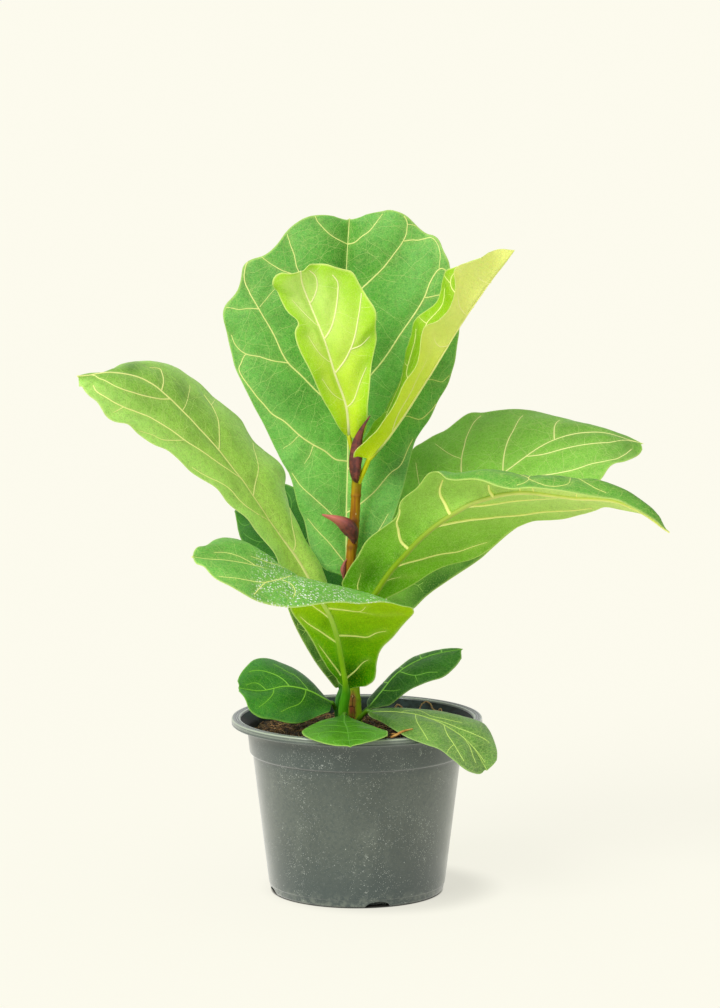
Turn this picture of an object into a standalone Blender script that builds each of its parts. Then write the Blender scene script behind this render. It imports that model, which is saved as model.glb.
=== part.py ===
"""A fiddle leaf fig in a round nursery pot.

The pot stands on the floor with the centre of its base at the origin, +Z up and the
plant's front towards -Y. Lengths are given in millimetres and turned into metres when a
mesh is made. The pot, the soil and the plant's pieces are separate solids that rest on
one another with a hair's breadth between them.
"""

import math
from dataclasses import dataclass

import bmesh
import bpy
import numpy as np
from mathutils import Vector

MM = 0.001
SEAT = 0.3
MERGE = 0.0001

# Pot
RIM_OUTER = 82.5
RIM_INNER = 76.9
POT_HEIGHT = 115.4
LIP_DROP = 6.8
LEDGE_HEIGHT = 90.7
BASE_RADIUS = 56.6
WALL_TOP_RADIUS = 68.2
WALL_TOP_HEIGHT = 88.0
FLOOR = 2.5
WALL = 1.5
POT_SIDES = 48
SLOT_WIDTH = 17.0
SLOT_HEIGHT = 3.9
SLOT_ANGLES = (-76, 14, 104, -166)

# Soil
SOIL_EDGE_HEIGHT = 104.5
SOIL_CROWN = 4.0
SOIL_LUMP = 1.3

# Stem
STEM_X = -2.0
STEM_FOOT = 62.0
STEM_FOOT_RADIUS = 4.0

# Leaf blades
BLADE = 0.8
SIDE_RIB = 1.7
MAIN_RIB = 2.6
STALK_RADIUS = 1.7
STALK_TIP_RADIUS = 0.9
FULL_ARCH_WIDTH = 40.0

PART = "fiddle_leaf_fig"


@dataclass(frozen=True)
class Leaf:
    """One leaf: a stalk, a midrib and the margin's points at rows along the midrib.

    A row holds the share of the midrib where its side ribs start, the left and the right
    margin's points as seen from in front, and which side has a rib there.
    faces_front says that the upper face looks to the front where left is on the left.
    """

    name: str
    stalk: tuple
    midrib: tuple
    rows: tuple
    faces_front: bool = True
    arch: float = 3.0
    sweep: float = 0.12
    wave: float = 1.5
    waves: float = 5.0
    puff: float = 1.2
    columns: int = 4
    splits: int = 2
    stalk_radius: float = STALK_RADIUS
    colour: str = "leaf_green"


LEAVES = (
    Leaf("leaf_back_tall",
         stalk=((-5, 0, 198),),
         midrib=((-7, 7, 206), (-7, 16, 247), (-6, 25, 289), (-7, 38, 354), (-7, 46, 406), (-5, 50, 440)),
         rows=((0.00, (-12, 7, 209), (-3, 7, 210), ""),
               (0.02, (-26, 13, 216), (7, 4, 215), ""),
               (0.05, (-32, 15, 236), (20, 6, 237), "LR"),
               (0.15, (-47, 16, 274), (35, 12, 289), "LR"),
               (0.32, (-69, 18, 323), (52, 20, 321), "LR"),
               (0.38, (-83, 24, 357), (66, 22, 354), "LR"),
               (0.44, (-87, 28, 380), (66, 28, 382), "L"),
               (0.50, (-75, 36, 408), (60, 34, 411), "LR"),
               (0.66, (-61, 38, 417), (48, 40, 429), "L"),
               (0.74, (-46, 42, 431), (33, 42, 441), "LR"),
               (0.92, (-26, 46, 442), (16, 45, 445), "LR"),
               (1.00, (-5, 50, 440), (-5, 50, 440), "")),
         sweep=0.05, wave=2.0, waves=6.0),
    Leaf("leaf_young_centre",
         stalk=((-1, 0, 283),),
         midrib=((-5, 0, 300), (-7, -5, 321), (-14, -11, 342), (-21, -16, 365), (-30, -18, 388),
                 (-35, -24, 402), (-36, -33, 411)),
         rows=((0.00, (-6, 0, 300), (-3, 0, 300), ""),
               (0.03, (-12, -4, 306), (4, -1, 301), ""),
               (0.17, (-21, -15, 326), (8, -12, 323), "LR"),
               (0.38, (-32, -24, 350), (11, -22, 363), "LR"),
               (0.50, (-39, -28, 370), (12, -28, 384), "L"),
               (0.60, (-40, -27, 379), (-3, -28, 409), "R"),
               (0.76, (-51, -29, 397), (-14, -28, 413), "LR"),
               (0.88, (-54, -33, 405), (-25, -30, 415), "LR"),
               (1.00, (-38, -35, 412), (-34, -35, 413), "")),
         sweep=0.08, waves=4.0, columns=3, stalk_radius=1.5, colour="leaf_lime"),
    Leaf("leaf_young_right",
         stalk=((0, 0, 268), (3, -3, 275), (6, -6, 282)),
         midrib=((8, -9, 287), (23, -10, 306), (45, -12, 340), (67, -14, 376), (86, -18, 404), (101, -24, 424)),
         rows=((0.00, (6, -6, 289), (5, -12, 288), ""),
               (0.06, (4, 6, 294), (-1, -17, 291), ""),
               (0.16, (18, 14, 318), (17, -24, 312), "LR"),
               (0.33, (31, 18, 348), (33, -29, 341), "LR"),
               (0.46, (36, 18, 364), (41, -31, 364), ""),
               (0.54, (39, 16, 379), (43, -31, 376), "LR"),
               (0.66, (55, 11, 390), (58, -30, 385), "R"),
               (0.72, (56, 8, 407), (61, -33, 412), "L"),
               (0.84, (68, 0, 413), (74, -32, 417), "LR"),
               (1.00, (99, -23, 427), (97, -26, 426), "")),
         sweep=0.1, waves=4.0, columns=3, stalk_radius=1.6, colour="leaf_lime"),
    Leaf("leaf_long_left",
         stalk=((-5, 0, 123), (-9, 1, 128)),
         midrib=((-10, 1, 134), (-17, -4, 160), (-31, -9, 208), (-55, -13, 245), (-76, -17, 277),
                 (-105, -24, 313), (-134, -36, 341), (-156, -48, 348), (-178, -60, 345)),
         rows=((0.00, (-12, 0, 134), (-9, 2, 135), ""),
               (0.04, (-16, -2, 137), (-8, 9, 142), ""),
               (0.16, (-29, -10, 157), (-13, 8, 176), "LR"),
               (0.30, (-45, -20, 190), (-21, 1, 207), "LR"),
               (0.40, (-57, -38, 234), (-37, 8, 239), "LR"),
               (0.50, (-82, -54, 264), (-48, 22, 264), "LR"),
               (0.58, (-106, -64, 285), (-57, 32, 282), "L"),
               (0.66, (-130, -72, 306), (-75, 32, 305), "R"),
               (0.74, (-149, -76, 318), (-98, 28, 327), "L"),
               (0.82, (-160, -76, 328), (-117, 20, 343), "R"),
               (0.90, (-166, -72, 335), (-137, 0, 350), "LR"),
               (0.97, (-174, -64, 342), (-164, -40, 348), ""),
               (1.00, (-178, -60, 345), (-178, -60, 345), "")),
         sweep=0.14, wave=1.2, waves=6.0),
    Leaf("leaf_front_left",
         stalk=((-3, -2, 118), (-5, -9, 125)),
         midrib=((-7, -14, 134), (-10, -22, 155), (-13, -37, 176), (-19, -55, 196), (-29, -74, 212),
                 (-47, -95, 225), (-73, -118, 236), (-102, -138, 242)),
         rows=((0.00, (-8, -15, 136), (-6, -14, 136), ""),
               (0.05, (-15, -19, 145), (6, -13, 139), ""),
               (0.12, (-23, -27, 156), (12, -19, 147), "LR"),
               (0.22, (-32, -40, 178), (16, -28, 163), "LR"),
               (0.34, (-41, -46, 191), (27, -42, 181), "LR"),
               (0.44, (-44, -60, 205), (35, -70, 197), "R"),
               (0.54, (-51, -66, 222), (15, -96, 206), "LR"),
               (0.66, (-65, -72, 235), (-17, -124, 209), "LR"),
               (0.78, (-78, -84, 245), (-52, -146, 213), "LR"),
               (0.88, (-90, -104, 247), (-79, -156, 225), "R"),
               (0.96, (-99, -126, 246), (-94, -148, 236), ""),
               (1.00, (-102, -138, 242), (-102, -138, 242), "")),
         faces_front=False, arch=4.5, wave=1.0),
    Leaf("leaf_right_front",
         stalk=((-3, -2, 167), (1, -6, 181)),
         midrib=((7, -11, 193), (22, -20, 217), (48, -32, 246), (75, -44, 264), (102, -54, 272),
                 (139, -66, 270), (179, -76, 261), (198, -80, 250)),
         rows=((0.00, (5, -13, 194), (9, -10, 193), ""),
               (0.05, (-8, -16, 201), (16, -4, 193), ""),
               (0.12, (-2, -24, 218), (42, 3, 206), "LR"),
               (0.24, (12, -32, 241), (85, 6, 227), "LR"),
               (0.35, (26, -40, 259), (107, 2, 242), "R", 4),
               (0.42, (45, -56, 283), (132, -6, 247), "LR", 7),
               (0.50, (67, -76, 282), (148, -14, 254), "", 9),
               (0.58, (85, -90, 281), (161, -28, 259), "LR", 10),
               (0.68, (108, -102, 279), (173, -44, 259), "L", 10),
               (0.78, (134, -108, 277), (183, -58, 259), "LR", 9),
               (0.90, (170, -102, 271), (190, -70, 255), "L", 5),
               (1.00, (198, -80, 250), (198, -80, 250), "")),
         faces_front=False, sweep=0.1, wave=1.0),
    Leaf("leaf_right_back",
         stalk=((-4, 2, 185), (3, 9, 193)),
         midrib=((11, 14, 202), (38, 22, 226), (68, 30, 252), (99, 37, 274), (130, 42, 294), (160, 44, 299),
                 (190, 44, 291)),
         rows=((0.00, (9, 15, 203), (13, 14, 201), ""),
               (0.03, (6, 22, 212), (23, 15, 191), ""),
               (0.14, (18, 34, 235), (44, 16, 192), "LR"),
               (0.27, (29, 46, 253), (73, 18, 211), "LR"),
               (0.38, (37, 60, 277), (101, 16, 235), "LR"),
               (0.47, (51, 72, 292), (125, 10, 251), "LR"),
               (0.58, (77, 80, 307), (151, 6, 262), "LR"),
               (0.70, (107, 80, 309), (163, 10, 275), "LR"),
               (0.82, (137, 72, 304), (177, 22, 281), "LR"),
               (0.92, (165, 60, 298), (188, 34, 285), ""),
               (1.00, (190, 44, 291), (190, 44, 291), ""))),
    Leaf("leaf_shaded_left",
         stalk=((-5, 3, 173), (-8, 14, 181)),
         midrib=((-13, 26, 190), (-26, 50, 205), (-41, 78, 218), (-61, 108, 230), (-82, 140, 236)),
         rows=((0.00, (-14, 26, 189), (-12, 28, 191), ""),
               (0.04, (-23, 26, 187), (-11, 32, 201), ""),
               (0.22, (-39, 36, 194), (-15, 52, 214), "LR"),
               (0.42, (-57, 50, 208), (-26, 80, 235), "LR"),
               (0.60, (-72, 72, 214), (-39, 104, 251), "LR"),
               (0.78, (-82, 100, 225), (-54, 130, 254), "LR"),
               (0.92, (-84, 124, 233), (-73, 142, 247), ""),
               (1.00, (-82, 140, 236), (-82, 140, 236), "")),
         waves=4.0, columns=3, splits=3, colour="leaf_dark"),
    Leaf("leaf_small_left",
         stalk=((-5, -1, 116), (-10, -5, 122)),
         midrib=((-16, -8, 126), (-31, -13, 135), (-46, -18, 139), (-63, -24, 137), (-77, -30, 140)),
         rows=((0.00, (-16, -10, 125), (-16, -6, 127), ""),
               (0.08, (-20, -18, 122), (-23, 0, 130), ""),
               (0.24, (-33, -28, 118), (-33, 8, 140), "LR"),
               (0.42, (-46, -36, 119), (-44, 10, 147), "LR"),
               (0.58, (-60, -42, 122), (-55, 8, 152), "LR"),
               (0.78, (-70, -44, 131), (-68, -2, 153), "LR"),
               (0.92, (-75, -38, 137), (-76, -18, 146), ""),
               (1.00, (-77, -30, 140), (-77, -29, 141), "")),
         wave=0.8, waves=4.0, puff=0.9, columns=3, stalk_radius=1.3, colour="leaf_dark"),
    Leaf("leaf_small_up_right",
         stalk=((-1, 0, 115), (3, 2, 117)),
         midrib=((7, 3, 120), (16, 6, 131), (27, 10, 143), (47, 16, 153), (70, 20, 157)),
         rows=((0.00, (6, 4, 120), (8, 2, 119), ""),
               (0.10, (8, 12, 125), (18, -1, 123), ""),
               (0.28, (18, 20, 135), (31, -5, 131), "LR"),
               (0.46, (29, 26, 144), (44, -8, 138), "LR"),
               (0.64, (42, 30, 152), (55, -8, 143), "LR"),
               (0.82, (56, 28, 156), (65, 4, 149), "LR"),
               (1.00, (70, 20, 158), (70, 19, 157), "")),
         sweep=0.1, wave=0.8, waves=3.0, puff=0.9, columns=3, stalk_radius=1.3, colour="leaf_dark"),
    Leaf("leaf_small_low_right",
         stalk=((0, -2, 115), (3, -9, 120)),
         midrib=((7, -15, 122), (37, -36, 124), (56, -52, 120), (73, -66, 110), (83, -70, 98)),
         rows=((0.00, (6, -14, 122), (7, -16, 121), ""),
               (0.10, (18, -12, 123), (15, -40, 119), ""),
               (0.26, (36, -10, 122), (26, -70, 119), "LR"),
               (0.44, (57, -10, 119), (40, -84, 114), "LR"),
               (0.62, (75, -22, 118), (55, -90, 109), "LR"),
               (0.80, (86, -38, 115), (67, -90, 102), "LR"),
               (0.93, (90, -56, 104), (77, -82, 94), ""),
               (1.00, (86, -71, 95), (83, -73, 94), "")),
         wave=0.6, waves=4.0, puff=0.8, columns=3, stalk_radius=1.3, colour="leaf_dark"),
    Leaf("leaf_small_front",
         stalk=((-3, -4, 114), (-6, -12, 119)),
         midrib=((-8, -20, 121), (-8, -42, 120), (-6, -68, 120), (-5, -90, 118), (-4, -106, 116)),
         rows=((0.00, (-9, -21, 121), (-6, -21, 121), ""),
               (0.08, (-16, -22, 118), (1, -22, 117), ""),
               (0.26, (-28, -38, 118), (9, -38, 118), "LR"),
               (0.46, (-35, -58, 118), (17, -58, 118), "LR"),
               (0.66, (-33, -80, 118), (19, -80, 119), "LR"),
               (0.85, (-20, -98, 117), (10, -98, 118), "LR"),
               (1.00, (-4, -106, 116), (-4, -106, 116), "")),
         faces_front=False, arch=2.0, wave=0.6, waves=3.0, puff=0.8, columns=3, stalk_radius=1.3,
         colour="leaf_dark"),
)

# The stem's centre line above the soil, with its radius at each point
STEM = ((STEM_X, 0, STEM_FOOT, 4.0), (STEM_X, 0, 108, 4.0), (-2.5, 0, 120, 3.9), (-3.6, 0, 150, 3.6),
        (-5.0, 0, 181, 3.4), (-5.2, 0, 200, 3.7), (-4.5, 0, 216, 3.3), (-2.2, 0, 238, 3.5), (-0.9, 0, 258, 3.1),
        (-0.2, 0, 270, 3.3), (0.2, 0, 283, 2.6))

# Each stipule's centre line, with its radius at each point
STIPULES = {
    "stipule_top": ((-0.8, -5.9, 275, 2.4), (-0.8, -6.3, 281, 3.3), (0.0, -7.0, 290, 3.6), (1.0, -8.4, 299, 2.7),
                    (3.9, -12.0, 308, 1.3), (8.5, -15.0, 316, 0.4)),
    "stipule_middle": ((-1.3, -6.8, 234, 2.2), (-3.0, -7.6, 239, 3.9), (-6.5, -8.2, 243.5, 4.2),
                       (-12.0, -8.6, 247, 2.9), (-22.7, -9.0, 250.7, 0.5)),
    "stipule_low": ((-7.8, -2.4, 219, 0.5), (-9.2, -2.9, 213, 1.6), (-8.6, -2.5, 207, 0.5)),
}

# A loop of root that stands out of the soil and comes down again
ROOT_LOOP = ((24, 8, 109.5), (31, 14, 116), (40, 21, 118.5), (49, 24, 116), (54, 24, 108.5))
ROOT_RADIUS = 0.6

COLOURS = {
    "pot_plastic": ((0.085, 0.105, 0.095), 0.5),
    "soil": ((0.075, 0.045, 0.028), 0.95),
    "bark": ((0.45, 0.24, 0.06), 0.6),
    "stipule_skin": ((0.17, 0.03, 0.03), 0.55),
    "root_skin": ((0.40, 0.25, 0.13), 0.8),
    "leaf_green": ((0.09, 0.33, 0.09), 0.4),
    "leaf_lime": ((0.40, 0.70, 0.07), 0.4),
    "leaf_dark": ((0.04, 0.22, 0.05), 0.4),
}


def unit(rows):
    """Each row scaled to a length of one."""
    return rows / np.maximum(np.linalg.norm(rows, axis=-1, keepdims=True), 1e-9)


def curve_through(points, steps):
    """Points on a smooth curve through the given ones, with steps between neighbours."""
    knots = np.asarray(points, float)
    knots = np.vstack([2 * knots[0] - knots[1], knots, 2 * knots[-1] - knots[-2]])
    gaps = np.maximum(np.linalg.norm(np.diff(knots[:, :3], axis=0), axis=1), 1e-6) ** 0.5
    times = np.concatenate([[0.0], np.cumsum(gaps)])
    out = []
    for i in range(1, len(knots) - 2):
        p0, p1, p2, p3 = knots[i - 1:i + 3]
        t0, t1, t2, t3 = times[i - 1:i + 3]
        t = np.linspace(t1, t2, steps, endpoint=False)[:, None]
        a1 = (t1 - t) / (t1 - t0) * p0 + (t - t0) / (t1 - t0) * p1
        a2 = (t2 - t) / (t2 - t1) * p1 + (t - t1) / (t2 - t1) * p2
        a3 = (t3 - t) / (t3 - t2) * p2 + (t - t2) / (t3 - t2) * p3
        b1 = (t2 - t) / (t2 - t0) * a1 + (t - t0) / (t2 - t0) * a2
        b2 = (t3 - t) / (t3 - t1) * a2 + (t - t1) / (t3 - t1) * a3
        out.append((t2 - t) / (t2 - t1) * b1 + (t - t1) / (t2 - t1) * b2)
    return np.vstack(out + [knots[-2][None]])


def eased(x, values):
    """Smooth values at x, from values given at even steps between 0 and 1."""
    values = np.asarray(values, float)
    last = len(values) - 1
    place = np.clip(np.asarray(x, float), 0, 1) * last
    i = np.minimum(place.astype(int), last - 1)
    slope = np.gradient(values, axis=0)
    t = place - i
    if values.ndim > 1:
        t = t[..., None]
    return ((1 + 2 * t) * (1 - t) ** 2 * values[i] + t * (1 - t) ** 2 * slope[i]
            + t * t * (3 - 2 * t) * values[i + 1] + t * t * (t - 1) * slope[i + 1])


class Blade:
    """The curved middle of a leaf, as points at any place on it."""

    def __init__(self, leaf):
        self.leaf = leaf
        self.line = curve_through(leaf.midrib, 12)
        lengths = np.linalg.norm(np.diff(self.line, axis=0), axis=1)
        self.run = np.concatenate([[0.0], np.cumsum(lengths)])
        self.tangent = unit(np.gradient(self.line, self.run, axis=0))
        self.starts = np.array([row[0] for row in leaf.rows], float)
        self.margins = {side: np.array([row[1 if side < 0 else 2] for row in leaf.rows], float) for side in (-1, 1)}
        self.ribs = {side: [i for i, row in enumerate(leaf.rows) if letter in row[3]]
                     for side, letter in ((-1, "L"), (1, "R"))}
        self.arches = {-1: np.array([row[4] if len(row) > 4 else leaf.arch for row in leaf.rows], float),
                       1: np.full(len(leaf.rows), leaf.arch)}
        self.upward = -1 if leaf.faces_front else 1

    def on_midrib(self, share):
        """Point and direction of the midrib at a share of its length."""
        reach = np.clip(share, 0, 1) * self.run[-1]
        point = np.stack([np.interp(reach, self.run, self.line[:, k]) for k in range(3)], -1)
        ahead = np.stack([np.interp(reach, self.run, self.tangent[:, k]) for k in range(3)], -1)
        return point, unit(ahead)

    def point(self, side, s, v):
        """Points of one half: s runs from base to tip, v from midrib to margin."""
        start, ahead = self.on_midrib(eased(s, self.starts))
        margin = eased(s, self.margins[side])
        across = margin - start
        outward = unit(np.cross(ahead, across)) * side * self.upward
        width = np.linalg.norm(across, axis=-1, keepdims=True)
        arch = eased(s, self.arches[side])[..., None] * np.clip(width / FULL_ARCH_WIDTH, 0, 1)
        middle = (start + margin) / 2 - ahead * self.leaf.sweep * width + outward * 2 * arch
        v = v[..., None]
        bent = (1 - v) ** 2 * start + 2 * v * (1 - v) * middle + v * v * margin
        return bent + outward * self.relief(side, s, v[..., 0], width[..., 0])[..., None]

    def relief(self, side, s, v, width):
        """Height of the waved margin and of the skin puffed up between the ribs."""
        leaf = self.leaf
        fade = np.clip(width / 12, 0, 1)
        wave = leaf.wave * np.sin(2 * math.pi * (leaf.waves * s + 0.2 * side)) * v ** 2
        order = np.interp(s, [i / (len(leaf.rows) - 1) for i in self.ribs[side]], np.arange(len(self.ribs[side])))
        puff = leaf.puff * (np.sin(math.pi * (order % 1.0)) - 0.5) * np.sin(math.pi * v)
        return (wave + puff) * fade


def make_material(name):
    """Principled material with the part's colour and roughness."""
    colour, roughness = COLOURS[name]
    material = bpy.data.materials.new(name)
    material.use_nodes = True
    shader = material.node_tree.nodes["Principled BSDF"]
    shader.inputs["Base Color"].default_value = (*colour, 1.0)
    shader.inputs["Roughness"].default_value = roughness
    shader.inputs["Metallic"].default_value = 0.0
    return material


def new_object(name, mesh, collection, material=None):
    """Object in a collection, with its material."""
    obj = bpy.data.objects.new(name, mesh)
    collection.objects.link(obj)
    if material:
        obj.data.materials.append(material)
    return obj


def smooth(obj, degrees=50):
    """Smooth shading with edges kept sharp past an angle."""
    obj.data.shade_smooth()
    obj.data.set_sharp_from_angle(angle=math.radians(degrees))


def plain_mesh(obj, collection):
    """Mesh object of what a curve or a stack of modifiers gives, with its caps welded on."""
    bpy.context.view_layer.update()
    depsgraph = bpy.context.evaluated_depsgraph_get()
    mesh = bpy.data.meshes.new_from_object(obj.evaluated_get(depsgraph), depsgraph=depsgraph)
    edit = bmesh.new()
    edit.from_mesh(mesh)
    bmesh.ops.remove_doubles(edit, verts=edit.verts, dist=MERGE / 4)
    edit.to_mesh(mesh)
    edit.free()
    name = obj.name
    place = obj.matrix_world.copy()
    bpy.data.objects.remove(obj)
    made = bpy.data.objects.new(name, mesh)
    made.matrix_world = place
    collection.objects.link(made)
    return made


def tube(name, points, collection, sides=2):
    """Tapered tube with closed ends through (x, y, z, radius) points in millimetres."""
    curve = bpy.data.curves.new(name, "CURVE")
    curve.dimensions = "3D"
    curve.bevel_depth = MM
    curve.bevel_resolution = sides
    curve.use_fill_caps = True
    spline = curve.splines.new("POLY")
    spline.points.add(len(points) - 1)
    for knot, (x, y, z, radius) in zip(spline.points, points):
        knot.co = (x * MM, y * MM, z * MM, 1.0)
        knot.radius = radius
    obj = bpy.data.objects.new(name, curve)
    collection.objects.link(obj)
    return plain_mesh(obj, collection)


def join_or_cut(obj, other, operation):
    """Apply one Boolean and remove the other object. The exact solver loses some thin blades."""
    boolean = obj.modifiers.new("boolean", "BOOLEAN")
    boolean.operation = operation
    boolean.object = other
    boolean.solver = "MANIFOLD"
    bpy.context.view_layer.update()
    depsgraph = bpy.context.evaluated_depsgraph_get()
    mesh = bpy.data.meshes.new_from_object(obj.evaluated_get(depsgraph), depsgraph=depsgraph)
    obj.modifiers.clear()
    obj.data = mesh
    bpy.data.objects.remove(other)
    return obj


def turned(name, profile, collection, material, sides=POT_SIDES):
    """Solid turned from a profile of (radius, height) points that starts and ends on the axis."""
    mesh = bpy.data.meshes.new(name)
    points = [(r * MM, 0.0, z * MM) for r, z in profile]
    mesh.from_pydata(points, [(i, i + 1) for i in range(len(points) - 1)], [])
    obj = new_object(name, mesh, collection, material)
    screw = obj.modifiers.new("turn", "SCREW")
    screw.axis = "Z"
    screw.angle = 2 * math.pi
    screw.steps = sides
    screw.render_steps = sides
    screw.use_merge_vertices = True
    screw.merge_threshold = MERGE
    screw.use_smooth_shade = True
    return obj


def pot_profile():
    """Inside of the pot, over the lip and down the outside to the base."""
    lip_foot = POT_HEIGHT - LIP_DROP
    inside = [(0, FLOOR), (54.0, FLOOR), (WALL_TOP_RADIUS - WALL, WALL_TOP_HEIGHT),
              (69.4, LEDGE_HEIGHT + 1.0), (71.8, lip_foot - 1.5), (74.0, lip_foot + 1.5),
              (RIM_INNER - 0.5, POT_HEIGHT - 1.6), (RIM_INNER, POT_HEIGHT - 0.4)]
    lip = [(RIM_INNER + 1.2, POT_HEIGHT), (RIM_INNER + 1.9, POT_HEIGHT - 0.5), (RIM_INNER + 2.6, POT_HEIGHT),
           (RIM_OUTER - 0.7, POT_HEIGHT), (RIM_OUTER, POT_HEIGHT - 0.6), (RIM_OUTER, lip_foot + 0.5),
           (RIM_OUTER - 0.5, lip_foot), (RIM_OUTER - 1.6, lip_foot), (RIM_OUTER - 1.8, lip_foot + 2.5),
           (RIM_OUTER - 5.5, lip_foot + 1.6)]
    wall = [(73.3, lip_foot - 2.2), (71.2, LEDGE_HEIGHT + 0.4), (70.5, LEDGE_HEIGHT - 0.2),
            (68.7, LEDGE_HEIGHT - 1.2), (WALL_TOP_RADIUS, WALL_TOP_HEIGHT), (57.3, 5.6),
            (BASE_RADIUS + 0.3, 5.0), (BASE_RADIUS, 1.2), (BASE_RADIUS - 0.8, 0), (0, 0)]
    return inside + lip + wall


def make_pot(collection, cutters, material):
    """Nursery pot with a stepped collar, a lip and drain slots round its bottom edge."""
    pot = turned("pot", pot_profile(), collection, material)
    for number, angle in enumerate(SLOT_ANGLES):
        turn = math.radians(angle)
        bpy.ops.mesh.primitive_cube_add(size=1)
        slot = bpy.context.object
        slot.name = f"drain_slot_{number}"
        slot.scale = (SLOT_WIDTH * MM, 12 * MM, 2 * SLOT_HEIGHT * MM)
        slot.location = ((BASE_RADIUS - 2) * MM * math.cos(turn), (BASE_RADIUS - 2) * MM * math.sin(turn), 0)
        slot.rotation_euler.z = turn + math.pi / 2
        for holder in slot.users_collection:
            holder.objects.unlink(slot)
        cutters.objects.link(slot)
        slot.hide_render = True
        slot.display_type = "WIRE"
        cut = pot.modifiers.new(slot.name, "BOOLEAN")
        cut.operation = "DIFFERENCE"
        cut.object = slot
        cut.solver = "EXACT"
    return pot


def soil_height(x, y):
    """Height of the soil's lumpy top at a place in the pot."""
    radius = math.hypot(x, y)
    crown = SOIL_CROWN * max(0.0, 1 - (radius / 66) ** 2)
    lumps = (math.sin(x * 0.19 + 1.1) * math.sin(y * 0.23 + 0.4) + 0.6 * math.sin(x * 0.41 - y * 0.33)
             + 0.4 * math.sin(0.62 * x + 0.5 * y + 2.0))
    calm = min(1.0, max(0.0, (radius - 5) / 12))
    return SOIL_EDGE_HEIGHT + crown + SOIL_LUMP * 0.6 * lumps * calm


def make_soil(collection, material):
    """Soil that fills the pot, lumpy on top, with a plain hole that the stem stands in."""
    wall_gap = WALL + SEAT
    hole = STEM_FOOT_RADIUS + SEAT
    rings = (9, 16, 25, 34, 43, 52, 61, 68)
    profile = [(0, STEM_FOOT - SEAT), (hole, STEM_FOOT - SEAT), (hole, soil_height(hole, 0))]
    profile += [(r, SOIL_EDGE_HEIGHT) for r in rings]
    profile += [(70.4, SOIL_EDGE_HEIGHT - 1.5), (69.0, LEDGE_HEIGHT + 1.2),
                (WALL_TOP_RADIUS - wall_gap - 0.2, WALL_TOP_HEIGHT - 0.6), (53.7, FLOOR + SEAT), (0, FLOOR + SEAT)]
    soil = turned("potting_soil", profile, collection, material, sides=40)
    soil = plain_mesh(soil, collection)
    for vert in soil.data.vertices:
        x, y, z = (vert.co / MM)
        if z > SOIL_EDGE_HEIGHT - 0.5 and math.hypot(x, y) > 1:
            vert.co.z = soil_height(x, y) * MM
    for vert in soil.data.vertices:
        if math.hypot(vert.co.x, vert.co.y) < (hole + 0.5) * MM and vert.co.z > (STEM_FOOT - 2) * MM:
            vert.co.x += STEM_X * MM
    soil.data.materials.append(material)
    smooth(soil, 40)
    return soil


def make_stem(collection, material):
    """Upright stem, a little thicker where the leaves joined it."""
    stem = tube("stem", curve_through(STEM, 4), collection, sides=3)
    stem.data.materials.append(material)
    smooth(stem)
    return stem


def make_stipule(name, points, collection, material):
    """Papery sheath round a bud, drawn out to a point."""
    stipule = tube(name, curve_through(points, 3), collection, sides=2)
    stipule.data.materials.append(material)
    smooth(stipule)
    return stipule


def make_root_loop(collection, material):
    """Thin root that loops up out of the soil, with both ends resting on it."""
    points = [(*p, ROOT_RADIUS) for p in curve_through(ROOT_LOOP, 4)]
    for end in (0, -1):
        x, y, _, radius = points[end]
        points[end] = (x, y, soil_height(x, y) + radius + SEAT, radius)
    root = tube("surface_roots", points, collection, sides=1)
    root.data.materials.append(material)
    smooth(root)
    return root


def blade_sheet(leaf, blade, collection):
    """Open sheet bent from a flat grid, with a weight for how thick it is at each point."""
    spans = (len(leaf.rows) - 1) * leaf.splits
    grid = bmesh.new()
    bmesh.ops.create_grid(grid, x_segments=spans, y_segments=2 * leaf.columns, size=1.0)
    weights = grid.verts.layers.deform.verify()
    for vert in grid.verts:
        s = (vert.co.x + 1) / 2
        v = abs(vert.co.y)
        side = 1 if vert.co.y >= 0 else -1
        at_end = s < 0.001 or s > 0.999
        place = blade.point(side, np.array([s]), np.array([0.0 if at_end else v]))[0]
        row = s * (len(leaf.rows) - 1)
        from_ends = min(1.0, (len(leaf.rows) - 1 - row) / 1.5, max(0.0, row - 0.5) / 1.5)
        on_rib = abs(row - round(row)) < 0.01 and round(row) in blade.ribs[side] and v < 0.9
        if v < 0.01:
            thick = BLADE + (MAIN_RIB - BLADE) * from_ends * (1 - 0.6 * s)
        elif on_rib:
            thick = BLADE + (SIDE_RIB - BLADE) * (1 - 0.7 * v)
        else:
            thick = BLADE
        vert[weights][0] = thick / MAIN_RIB
        vert.co = Vector(place) * MM
    if blade.upward < 0:
        bmesh.ops.reverse_faces(grid, faces=grid.faces)
    bmesh.ops.remove_doubles(grid, verts=grid.verts, dist=MERGE)
    bmesh.ops.triangulate(grid, faces=grid.faces, quad_method="SHORT_EDGE")
    mesh = bpy.data.meshes.new(leaf.name)
    grid.to_mesh(mesh)
    grid.free()
    obj = new_object(leaf.name, mesh, collection)
    obj.vertex_groups.new(name="thickness")
    return obj


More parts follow.
